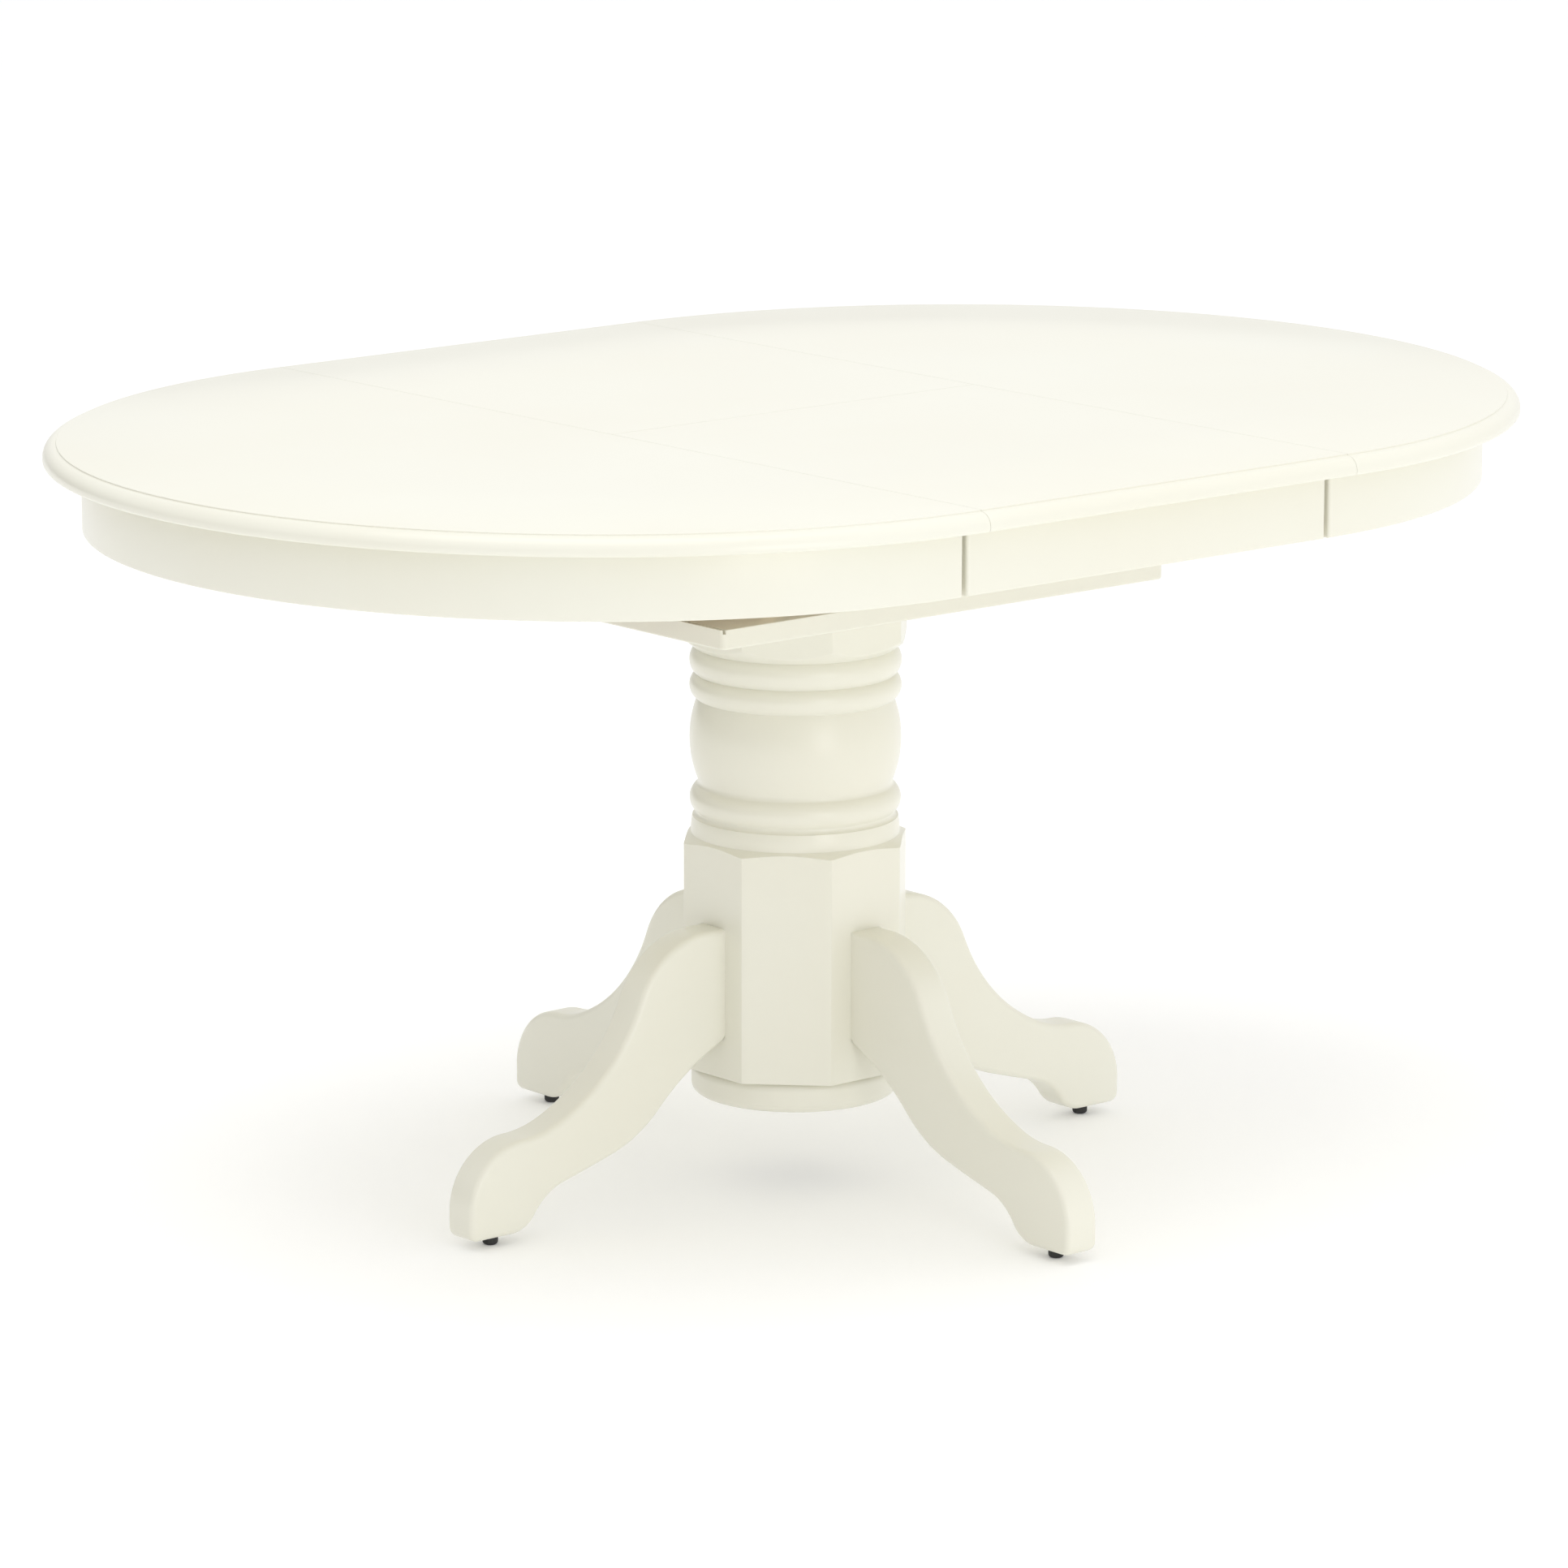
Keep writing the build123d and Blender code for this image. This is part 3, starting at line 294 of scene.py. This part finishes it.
def leg_outline():
    """Closed outline (r, z) of a leg: a chain of tangent arcs down the back, round the toe and up under."""
    parts = [np.array([(FLAT - 12, LEG_TOP), (FLAT + 4, LEG_TOP)])]
    for chain, heading in ((LEG_BACK, (1.0, 0.0)), (LEG_UNDER, (-1.0, 0.0))):
        for start, end in zip(chain[:-1], chain[1:]):
            points, heading = tangent_arc(start, end, heading, 18)
            parts.append(points)
        if chain is LEG_BACK:
            parts.append(arc(TOE_CENTRE, TOE_RADIUS, 0, -90, 10))
    last, heading = parts[-1][-1], heading
    parts.append(np.array([last + 12 * np.array(heading) / abs(heading[0])]))
    outline = np.concatenate(parts)
    keep = np.linalg.norm(np.roll(outline, 1, 0) - outline, axis=1) > 0.05
    return outline[keep]


def leg_surface():
    """Leg as rings: ring a of the outline is drawn in by R (1 - sin a) and stands R cos a out towards
    the side face, so both long edges are quarter rounds. What reaches into the column stops at its flat."""
    outline = leg_outline()
    step = np.roll(outline, -1, 0) - np.roll(outline, 1, 0)
    normal = np.stack([step[:, 1], -step[:, 0]], 1)
    normal = -normal / np.linalg.norm(normal, axis=1)[:, None]
    half = (LEG_HIGH[1] - LEG_LOW[1]) / 2
    angle = np.radians(np.linspace(0, 90, 8))
    inset = LEG_EDGE_ROUND * (1 - np.sin(angle))
    side = half - LEG_EDGE_ROUND + LEG_EDGE_ROUND * np.cos(angle)
    inset = np.concatenate([inset, inset[::-1]])
    side = np.concatenate([side, -side[::-1]])
    rings = outline[None] - normal[None] * inset[:, None, None]
    x = np.maximum(rings[..., 0], FLAT)
    return np.stack([x, np.broadcast_to(side[:, None], x.shape), rings[..., 1]], 2)


# The turned part's arcs, as (radius, height) of start, widest point and end.
TURNING = [
    ((116.0, 341.5), (108.0, 344.0), (101.3, 347.5)),
    ((101.3, 347.5), (101.2, 356.5), (100.0, 364.5)),
    ((100.0, 364.5), (97.5, 366.0), (96.5, 369.5)),
    ((96.5, 369.5), (102.6, 382.5), (95.5, 395.5)),
    ((95.5, 395.5), (94.6, 398.0), (94.7, 400.5)),
    ((94.7, 400.5), (102.7, 441.0), (95.6, 480.5)),
    ((95.6, 480.5), (102.8, 492.5), (97.0, 505.0)),
    ((97.0, 505.0), (102.8, 518.0), (97.5, 531.0)),
    ((97.5, 531.0), (106.0, 537.5), (116.0, 546.0)),
]


def three_point_arc(first, middle, last, count):
    """Arc through three points: the circle whose centre is as far from each of them."""
    a, b, c = (np.array(p, float) for p in (first, middle, last))
    lines = np.array([b - a, c - b]) * 2
    centre = np.linalg.solve(lines, [b @ b - a @ a, c @ c - b @ b])
    start = math.atan2(*(a - centre)[::-1])
    sweep = math.atan2(*(c - centre)[::-1]) - start
    sweep = (sweep + math.pi) % (2 * math.pi) - math.pi
    angle = start + sweep * np.linspace(0, 1, count)
    return centre + np.linalg.norm(a - centre) * np.stack([np.cos(angle), np.sin(angle)], 1)


def octagon_radius(angle, sharpness=200.0):
    """Radius of an octagon with eased corners: FLAT over the p-mean of its eight faces' cosines."""
    faces = np.radians(np.arange(8) * 45.0)
    cosines = np.clip(np.cos(angle[:, None] - faces[None]), 0, 1)
    return FLAT / (cosines**sharpness).sum(1) ** (1 / sharpness)


def column_surface():
    """Column as (radius, z) rings over the angle: the octagon cut down to the turned profile, and the
    square hollow inside it, whose radius is its half side over the larger of |cos a| and |sin a|."""
    angle = np.radians(np.arange(256) * 360.0 / 256)
    octagon = octagon_radius(angle)
    square = CAVITY_HALF / np.maximum(np.abs(np.cos(angle)), np.abs(np.sin(angle)))
    profile = np.concatenate([three_point_arc(*points, 22)[(i > 0):] for i, points in enumerate(TURNING)])
    base, top = COLUMN_LOW[2], COLUMN_HIGH[2]
    rings = [(0 * angle, CAVITY_TOP), (square, CAVITY_TOP), (square, base)]
    rings += [(octagon - 1.0, base), (octagon, base + 1.0), (octagon, 250.0)]
    rings += [(np.minimum(octagon, r), z) for r, z in profile]
    rings += [(octagon, 564.0), (octagon, top), (0 * angle, top)]
    radius = np.stack([r for r, _ in rings])
    height = np.array([z for _, z in rings])[:, None] + 0 * radius
    return np.stack([radius * np.cos(angle), radius * np.sin(angle), height], 2)


def disc_section():
    """Closed section of the base disc: a flat ring whose outer edge is rounded above and below."""
    outer, low, high = DISC_HIGH[0], DISC_LOW[2], DISC_HIGH[2]
    rim = DISC_RIM_ROUND
    return np.concatenate([
        [(DISC_HOLE, high), (DISC_HOLE, low)],
        arc((outer - rim, low + rim), rim, -90, 0, 12),
        arc((outer - rim, high - rim), rim, 0, 90, 12),
    ])


def ease_in(y, reach):
    """Draws the outer face in near an end: by R - sqrt(R^2 - (R - reach)^2) within R of it, which rounds
    the upright corner; points near the inner face stay where they are."""
    short = np.clip(APRON_END_ROUND - reach, 0, APRON_END_ROUND)
    drawn = APRON_END_ROUND - np.sqrt(APRON_END_ROUND**2 - short**2)
    return np.minimum(y, y.max() - drawn)


def ease_ends(rings, end_x):
    """Rounds the upright outer corners at both ends of a bent apron, whose first and last stretch run
    straight along X. Extra rings are set in, at R (1 - cos a) from each end."""
    ends = APRON_END_ROUND * (1 - np.cos(np.radians(np.linspace(0, 90, 7))))
    parts = []
    for ring, sign in ((rings[:1], -1), (rings[-1:], 1)):
        added = np.repeat(ring, len(ends), 0)
        added[..., 0] += ends[:, None]
        added[..., 1] = sign * ease_in(sign * added[..., 1], ends[:, None])
        parts.append(added if sign < 0 else added[::-1])
    return np.concatenate([parts[0], rings[1:-1], parts[1]])


def leaf_surface(side_gap_stations):
    """Leaf half as its section carried along X, with the inner edge pushed in at each hinge mortise."""
    inner = LEAF_LOW[1]
    body = edge_section(TOP_RADIUS, inner)
    low, high = CUP_LOW[2], CUP_HIGH[2]
    mortise = np.array([(inner, low), (inner, low), (inner, high), (inner, high)])
    section = np.concatenate([body, mortise])
    stations, depths = [side_gap_stations[0]], [0.0]
    for x in CUP_XS:
        for offset, depth in ((-1, 0.0), (-1, CUP_DEPTH), (1, CUP_DEPTH), (1, 0.0)):
            stations.append(x + offset * CUP_HALF_LENGTH)
            depths.append(depth)
    stations.append(side_gap_stations[1])
    depths.append(0.0)
    points = along(section, stations)
    points[:, -3:-1, 1] += np.array(depths)[:, None]
    return points


def glide_section():
    """Section (r, z) of a round glide: a flat foot, a large round below and a straight wall above."""
    foot = arc((GLIDE_RADIUS - GLIDE_ROUND, GLIDE_ROUND), GLIDE_ROUND, -90, 0, 12)
    top = [(GLIDE_RADIUS, FOOT_LIFT - 1.0), (GLIDE_RADIUS - 1.0, FOOT_LIFT), (0.0, FOOT_LIFT)]
    return np.concatenate([[(0.0, 0.0)], foot, top])


# ---- materials ---------------------------------------------------------------------------
def linear(hexadecimal):
    """Linear RGBA of an sRGB hex colour."""
    values = [int(hexadecimal[i : i + 2], 16) / 255 for i in (0, 2, 4)]
    return tuple(v / 12.92 if v <= 0.04045 else ((v + 0.055) / 1.055) ** 2.4 for v in values) + (1.0,)


def add_node(tree, kind, settings=(), **links):
    """Adds a node. Settings are attribute names, or input names written 'in:Name'. Links give an input's
    name, with _ for a space, and the socket that feeds it."""
    made = tree.nodes.new(kind)
    for key, value in dict(settings).items():
        if key.startswith("in:"):
            made.inputs[key[3:]].default_value = value
        else:
            setattr(made, key, value)
    for key, source in links.items():
        tree.links.new(source, made.inputs[key.replace("_", " ")])
    return made


def new_material(name, surface):
    """A material with one Principled shader, whose inputs surface(tree, coordinates) sets and links."""
    material = bpy.data.materials.new(name)
    material.use_nodes = True
    tree = material.node_tree
    tree.nodes.clear()
    coordinates = add_node(tree, "ShaderNodeTexCoord").outputs["Object"]
    shader = surface(tree, coordinates)
    add_node(tree, "ShaderNodeOutputMaterial", Surface=shader.outputs["BSDF"])
    return material


def ramp(tree, factor, stops):
    """Colour ramp node with stops of (position, linear colour)."""
    made = add_node(tree, "ShaderNodeValToRGB", Fac=factor)
    elements = made.color_ramp.elements
    while len(elements) < len(stops):
        elements.new(0.5)
    for element, (position, colour) in zip(elements, stops):
        element.position = position
        element.color = colour
    return made.outputs["Color"]


def sprayed_enamel(looks, name, grain_axis):
    """Satin enamel, sprayed in several coats on rubberwood. The eye sees a soft, wide highlight, a fine
    orange-peel ripple, and faintly the wood's grain, as long low hollows along the piece."""
    paint = (*looks.paint, 1.0)
    warm = tuple(c * k for c, k in zip(looks.paint, (0.985, 0.975, 0.955))) + (1.0,)
    stretch = [1 / 0.006] * 3
    stretch["XYZ".index(grain_axis)] = 1 / 0.14

    def surface(tree, place):
        cloud = add_node(tree, "ShaderNodeTexNoise", {"in:Scale": 3.5, "in:Detail": 3.0}, Vector=place)
        tint = ramp(tree, cloud.outputs["Fac"], [(0.3, warm), (0.7, paint)])
        mapped = add_node(tree, "ShaderNodeMapping", {"in:Scale": stretch}, Vector=place)
        grain = add_node(
            tree,
            "ShaderNodeTexNoise",
            {"in:Scale": 1.0, "in:Detail": 4.0, "in:Roughness": 0.55},
            Vector=mapped.outputs["Vector"],
        )
        peel = add_node(
            tree, "ShaderNodeTexNoise", {"in:Scale": 1 / looks.peel, "in:Detail": 1.5}, Vector=place
        )
        grain_bump = add_node(
            tree,
            "ShaderNodeBump",
            {"in:Strength": 0.18, "in:Distance": 0.12 * MM},
            Height=grain.outputs["Fac"],
        )
        peel_bump = add_node(
            tree,
            "ShaderNodeBump",
            {"in:Strength": 0.3, "in:Distance": 0.05 * MM},
            Height=peel.outputs["Fac"],
            Normal=grain_bump.outputs["Normal"],
        )
        rub = add_node(tree, "ShaderNodeMapRange", {"in:To Min": looks.paint_roughness - 0.04,
            "in:To Max": looks.paint_roughness + 0.05}, Value=cloud.outputs["Fac"])
        return add_node(
            tree,
            "ShaderNodeBsdfPrincipled",
            {"in:IOR": 1.5, "in:Coat Weight": 0.2, "in:Coat Roughness": 0.18, "in:Coat IOR": 1.45},
            Base_Color=tint,
            Roughness=rub.outputs["Result"],
            Normal=peel_bump.outputs["Normal"],
        )

    return new_material(name, surface)


def sealed_rubberwood(name):
    """Rubberwood, planed and sealed with one thin coat. The eye sees pale straw wood with fine dark pores
    a few millimetres long and slow bands of growth, under a dull surface."""
    light, dark, pore = linear("D9B98A"), linear("C09A66"), linear("8C6A42")

    def surface(tree, place):
        mapped = add_node(tree, "ShaderNodeMapping", {"in:Scale": (6.0, 90.0, 60.0)}, Vector=place)
        bands = add_node(
            tree,
            "ShaderNodeTexNoise",
            {"in:Scale": 1.0, "in:Detail": 5.0, "in:Distortion": 0.6},
            Vector=mapped.outputs["Vector"],
        )
        tint = ramp(tree, bands.outputs["Fac"], [(0.35, dark), (0.65, light)])
        pores_place = add_node(tree, "ShaderNodeMapping", {"in:Scale": (160.0, 1600.0, 1600.0)}, Vector=place)
        pores = add_node(
            tree,
            "ShaderNodeTexNoise",
            {"in:Scale": 1.0, "in:Detail": 1.0},
            Vector=pores_place.outputs["Vector"],
        )
        pore_mask = add_node(tree, "ShaderNodeMapRange", {"in:From Min": 0.62, "in:From Max": 0.72},
            Value=pores.outputs["Fac"])
        mixed = add_node(tree, "ShaderNodeMix", {"data_type": "RGBA"})
        tree.links.new(pore_mask.outputs["Result"], mixed.inputs[0])
        tree.links.new(tint, mixed.inputs[6])
        mixed.inputs[7].default_value = pore
        bump = add_node(
            tree, "ShaderNodeBump", {"in:Strength": 0.4, "in:Distance": 0.1 * MM}, Height=bands.outputs["Fac"]
        )
        return add_node(
            tree,
            "ShaderNodeBsdfPrincipled",
            {"in:Roughness": 0.55, "in:IOR": 1.5},
            Base_Color=mixed.outputs[2],
            Normal=bump.outputs["Normal"],
        )

    return new_material(name, surface)


def plated_metal(name, pale, dull, roughness):
    """Plated steel hardware, tumbled and dipped. The eye sees a bright metal with a slightly mottled,
    cloudy reflection from the plating's crystals."""

    def surface(tree, place):
        mottle = add_node(tree, "ShaderNodeTexNoise", {"in:Scale": 700.0, "in:Detail": 3.0}, Vector=place)
        tint = ramp(tree, mottle.outputs["Fac"], [(0.35, linear(dull)), (0.65, linear(pale))])
        rough = add_node(tree, "ShaderNodeMapRange", {"in:To Min": roughness - 0.08, "in:To Max": roughness + 0.1},
            Value=mottle.outputs["Fac"])
        return add_node(
            tree,
            "ShaderNodeBsdfPrincipled",
            {"in:Metallic": 1.0},
            Base_Color=tint,
            Roughness=rough.outputs["Result"],
        )

    return new_material(name, surface)


def moulded_plastic(name, colour, shade, roughness, grit):
    """Injection-moulded plastic. The eye sees one even colour with a fine texture from the mould's
    sparked steel, which breaks up the highlight."""

    def surface(tree, place):
        spark = add_node(tree, "ShaderNodeTexNoise", {"in:Scale": 1 / grit, "in:Detail": 2.0}, Vector=place)
        tint = ramp(tree, spark.outputs["Fac"], [(0.3, linear(shade)), (0.7, linear(colour))])
        bump = add_node(
            tree,
            "ShaderNodeBump",
            {"in:Strength": 0.25, "in:Distance": 0.04 * MM},
            Height=spark.outputs["Fac"],
        )
        return add_node(
            tree,
            "ShaderNodeBsdfPrincipled",
            {"in:Roughness": roughness, "in:IOR": 1.5},
            Base_Color=tint,
            Normal=bump.outputs["Normal"],
        )

    return new_material(name, surface)


def studio_floor(name):
    """Matt painted studio floor, rolled on. The eye sees plain pale paint with no sheen."""

    def surface(tree, place):
        cloud = add_node(tree, "ShaderNodeTexNoise", {"in:Scale": 0.7, "in:Detail": 2.0}, Vector=place)
        tint = ramp(tree, cloud.outputs["Fac"], [(0.3, linear("FDFDFD")), (0.7, linear("FFFFFF"))])
        return add_node(
            tree,
            "ShaderNodeBsdfPrincipled",
            {"in:Roughness": 0.9, "in:Specular IOR Level": 0.1, "in:Emission Color": linear("FFFFFF"),
             "in:Emission Strength": 0.1},
            Base_Color=tint,
        )

    return new_material(name, surface)


def studio_dome(name):
    """White cloth dome all round. It is darker low down on the far left, where the studio has no light."""
    world = bpy.data.worlds.new(name)
    world.use_nodes = True
    tree = world.node_tree
    tree.nodes.clear()
    direction = add_node(tree, "ShaderNodeTexCoord").outputs["Generated"]
    left = add_node(tree, "ShaderNodeVectorMath", {"operation": "DOT_PRODUCT"})
    tree.links.new(direction, left.inputs[0])
    left.inputs[1].default_value = (-0.9, 0.43, 0.0)
    aside = add_node(
        tree,
        "ShaderNodeMapRange",
        {"interpolation_type": "SMOOTHSTEP", "in:From Min": -0.3, "in:From Max": 0.7},
        Value=left.outputs["Value"],
    )
    height = add_node(tree, "ShaderNodeSeparateXYZ", Vector=direction).outputs["Z"]
    low = add_node(
        tree,
        "ShaderNodeMapRange",
        {"interpolation_type": "SMOOTHSTEP", "in:From Min": 0.45, "in:From Max": 0.0},
        Value=height,
    )
    dim = add_node(tree, "ShaderNodeMath", {"operation": "MULTIPLY"})
    tree.links.new(aside.outputs["Result"], dim.inputs[0])
    tree.links.new(low.outputs["Result"], dim.inputs[1])
    shade = ramp(tree, dim.outputs["Value"], [(0.0, linear("FFFFFF")), (1.0, linear("303030"))])
    background = add_node(tree, "ShaderNodeBackground", {"in:Strength": 0.92}, Color=shade)
    add_node(tree, "ShaderNodeOutputWorld", Surface=background.outputs["Background"])
    return world


def finish(name):
    """A material by name, made the first time that it's asked for."""
    found = bpy.data.materials.get(name)
    if found:
        return found
    looks = bpy.context.scene.table_looks
    makers = {
        "enamel_across": lambda: sprayed_enamel(looks, "enamel_across", "Y"),
        "enamel_lengthways": lambda: sprayed_enamel(looks, "enamel_lengthways", "X"),
        "enamel_upright": lambda: sprayed_enamel(looks, "enamel_upright", "Z"),
        "bare_wood": lambda: sealed_rubberwood("bare_wood"),
        "zinc_steel": lambda: plated_metal("zinc_steel", "C9CCD0", "A9ADB2", 0.32),
        "brass_plate": lambda: plated_metal("brass_plate", "D9B866", "B8944A", 0.3),
        "black_plastic": lambda: moulded_plastic("black_plastic", "1B1B1B", "121212", 0.45, 0.6 * MM),
        "nylon": lambda: moulded_plastic("nylon", "EDEBE2", "E2E0D6", 0.4, 0.8 * MM),
        "studio_floor": lambda: studio_floor("studio_floor"),
    }
    return makers[name]()


# ---- operators ---------------------------------------------------------------------------
class TABLE_OT_tops(bpy.types.Operator):
    """Makes the two half tops, each half a disc with a stepped roll round its edge"""

    bl_idname = "table.tops"
    bl_label = "Half tops"

    def execute(self, context):
        section = edge_section(TOP_RADIUS, 0.0)
        points = around(section, SEAM_X, -90, 90, 181)
        for side, placed in (("right", points), ("left", half_turn(points))):
            piece = build_piece(f"top_{side}", [(placed, False, False, True)])
            seat_piece(piece, f"top_half_{side}", finish("enamel_across"))
        return {"FINISHED"}


class TABLE_OT_leaf(bpy.types.Operator):
    """Makes the two halves of the folding leaf, mortised for their hinges"""

    bl_idname = "table.leaf"
    bl_label = "Folding leaf"

    def execute(self, context):
        points = leaf_surface((LEAF_LOW[0], LEAF_HIGH[0]))
        for side, placed in (("back", points), ("front", half_turn(points))):
            piece = build_piece(f"leaf_panel_{side}", [(placed, False, True, True)])
            seat_piece(piece, f"leaf_{side}", finish("enamel_across"))
        return {"FINISHED"}


class TABLE_OT_aprons(bpy.types.Operator):
    """Makes the bent end aprons and the straight aprons that hang under the leaf"""

    bl_idname = "table.aprons"
    bl_label = "Aprons"

    def execute(self, context):
        ease = context.scene.table_looks.eased_edge / MM
        low, high = (APRON_OUTER - APRON_THICKNESS, APRON_LOW[2]), (APRON_OUTER, APRON_HIGH[2])
        bent = around(rounded_rectangle(low, high, ease), SEAM_X, -90, 90, 181)
        bent = ease_ends(bent, SEAM_X)
        for side, placed in (("right", bent), ("left", half_turn(bent))):
            piece = build_piece(f"bent_apron_{side}", [(placed, False, True, True)])
            seat_piece(piece, f"apron_{side}", finish("enamel_lengthways"))
        section = rounded_rectangle(LEAF_APRON_LOW[1:], LEAF_APRON_HIGH[1:], ease)
        ends = APRON_END_ROUND * (1 - np.cos(np.radians(np.linspace(0, 90, 7))))
        stations = np.concatenate([LEAF_APRON_LOW[0] + ends, LEAF_APRON_HIGH[0] - ends[::-1]])
        straight = along(section, stations)
        reach = np.minimum(stations - LEAF_APRON_LOW[0], LEAF_APRON_HIGH[0] - stations)
        straight[..., 1] = ease_in(straight[..., 1], reach[:, None])
        for side, placed in (("back", straight), ("front", half_turn(straight))):
            piece = build_piece(f"straight_apron_{side}", [(placed, False, True, True)])
            seat_piece(piece, f"leaf_apron_{side}", finish("enamel_lengthways"))
        return {"FINISHED"}


class TABLE_OT_column(bpy.types.Operator):
    """Makes the octagonal column with its turned beads and barrel, and the disc under it"""

    bl_idname = "table.column"
    bl_label = "Column and disc"

    def execute(self, context):
        piece = build_piece("turned_column", [(column_surface(), False, True, False)], 26.0)
        seat_piece(piece, "column", finish("enamel_upright"))
        rings = around(disc_section(), 0.0, 0, 360, 193)[:-1]
        disc = build_piece("foot_disc", [(rings, True, True, False)])
        seat_piece(disc, "base_disc", finish("enamel_across"))
        return {"FINISHED"}


class TABLE_OT_legs(bpy.types.Operator):
    """Makes the four sawn S-curved legs with rounded edges, and their round glides"""

    bl_idname = "table.legs"
    bl_label = "Legs and glides"

    def execute(self, context):
        points = leg_surface()
        for turns, side in enumerate(("right", "back", "left", "front")):
            placed = quarter_turns(points, turns)
            piece = build_piece(f"curved_leg_{side}", [(placed, False, True, True)], 40.0)
            grain = "enamel_lengthways" if turns % 2 == 0 else "enamel_across"
            seat_piece(piece, f"leg_{side}", finish(grain))
        one = around(glide_section(), 0.0, 0, 360, 49)[:-1] + np.array([GLIDE_CENTRE, 0.0, 0.0])
        patches = [(quarter_turns(one, turns), True, False, False) for turns in range(4)]
        glides = build_piece("round_glides", patches)
        seat_piece(glides, "glides", finish("black_plastic"))
        return {"FINISHED"}


class TABLE_OT_hardware(bpy.types.Operator):
    """Gives the board, rails, gears, hinges and screws of the frame their own finishes"""

    bl_idname = "table.hardware"
    bl_label = "Board, rails and hardware"

    def execute(self, context):
        for name, part in frame["nodes"].items():
            if part.hide_render:
                continue
            slot = SLOTS[name]
            material = finish("enamel_lengthways" if slot == "paint_linen" else slot)
            if not part.material_slots:
                part.data.materials.append(material)
            for entry in part.material_slots:
                entry.material = material
        return {"FINISHED"}


class TABLE_OT_stage(bpy.types.Operator):
    """Makes the floor, the soft studio light and the camera"""

    bl_idname = "table.stage"
    bl_label = "Stage"

    def execute(self, context):
        scene = context.scene
        half = scene.table_looks.floor_size / 2 / MM
        grid = along(np.array([(-half, 0.0), (half, 0.0)]), (-half, half))
        floor = build_piece("studio_ground", [(grid, False, False, False)])
        floor.data.materials.append(finish("studio_floor"))
        scene.world = studio_dome("studio_dome")
        for name, place, size, power in (
            ("front_softbox", (-0.9, -5.6, 0.9), 2.0, 30.0),
            ("top_softbox", (-1.2, -0.6, 6.0), 5.0, 100.0),
        ):
            lamp = bpy.data.lights.new(name, "AREA")
            lamp.shape = "SQUARE"
            lamp.size = size
            lamp.energy = power
            holder = bpy.data.objects.new(name, lamp)
            holder.location = place
            holder.rotation_euler = (Vector((0, 0, 0.5)) - Vector(place)).to_track_quat("-Z", "Y").to_euler()
            scene.collection.objects.link(holder)
        scene.view_settings.view_transform = "Standard"
        add_camera(scene)
        return {"FINISHED"}


# The camera stands low at the table's near left corner.
CAMERA_AZIMUTH = 40.57  # degrees from -Y towards -X
CAMERA_DISTANCE = 7.239
CAMERA_HEIGHT = 1.966
CAMERA_PITCH = 12.256
CAMERA_ROLL = 0.12
CAMERA_LENS = 175.34
CAMERA_SHIFT = (-0.0072, 0.0001)


def add_camera(scene):
    """Camera looking level at the table's axis, then pitched down and rolled a little."""
    turn = math.radians(CAMERA_AZIMUTH)
    data = bpy.data.cameras.new("camera")
    data.sensor_width = 36.0
    data.lens = CAMERA_LENS
    data.shift_x, data.shift_y = CAMERA_SHIFT
    data.clip_end = 100.0
    camera = bpy.data.objects.new("camera", data)
    place = Matrix.Translation(
        (-math.sin(turn) * CAMERA_DISTANCE, -math.cos(turn) * CAMERA_DISTANCE, CAMERA_HEIGHT)
    )
    heading = Matrix.Rotation(-turn, 4, "Z")
    tilt = Matrix.Rotation(math.radians(90 - CAMERA_PITCH), 4, "X")
    roll = Matrix.Rotation(math.radians(CAMERA_ROLL), 4, "Z")
    camera.matrix_world = place @ heading @ tilt @ roll
    scene.collection.objects.link(camera)
    scene.camera = camera


class TABLE_PT_panel(bpy.types.Panel):
    """Lists the table's finish settings and the operators that build it"""

    bl_idname = "TABLE_PT_panel"
    bl_label = "Pedestal table"
    bl_space_type = "VIEW_3D"
    bl_region_type = "UI"
    bl_category = "Table"

    def draw(self, context):
        looks = context.scene.table_looks
        for name in ("paint", "paint_roughness", "peel", "eased_edge", "floor_size"):
            self.layout.prop(looks, name)
        for operator in OPERATORS:
            self.layout.operator(operator.bl_idname)


OPERATORS = (
    TABLE_OT_tops,
    TABLE_OT_leaf,
    TABLE_OT_aprons,
    TABLE_OT_column,
    TABLE_OT_legs,
    TABLE_OT_hardware,
    TABLE_OT_stage,
)
CLASSES = (TableLooks, *OPERATORS, TABLE_PT_panel)


def register():
    for cls in CLASSES:
        bpy.utils.register_class(cls)
    bpy.types.Scene.table_looks = bpy.props.PointerProperty(type=TableLooks)


def unregister():
    del bpy.types.Scene.table_looks
    for cls in reversed(CLASSES):
        bpy.utils.unregister_class(cls)


def main():
    register()
    bpy.ops.table.tops()
    bpy.ops.table.leaf()
    bpy.ops.table.aprons()
    bpy.ops.table.column()
    bpy.ops.table.legs()
    bpy.ops.table.hardware()
    bpy.ops.table.stage()


if __name__ == "__main__":
    main()
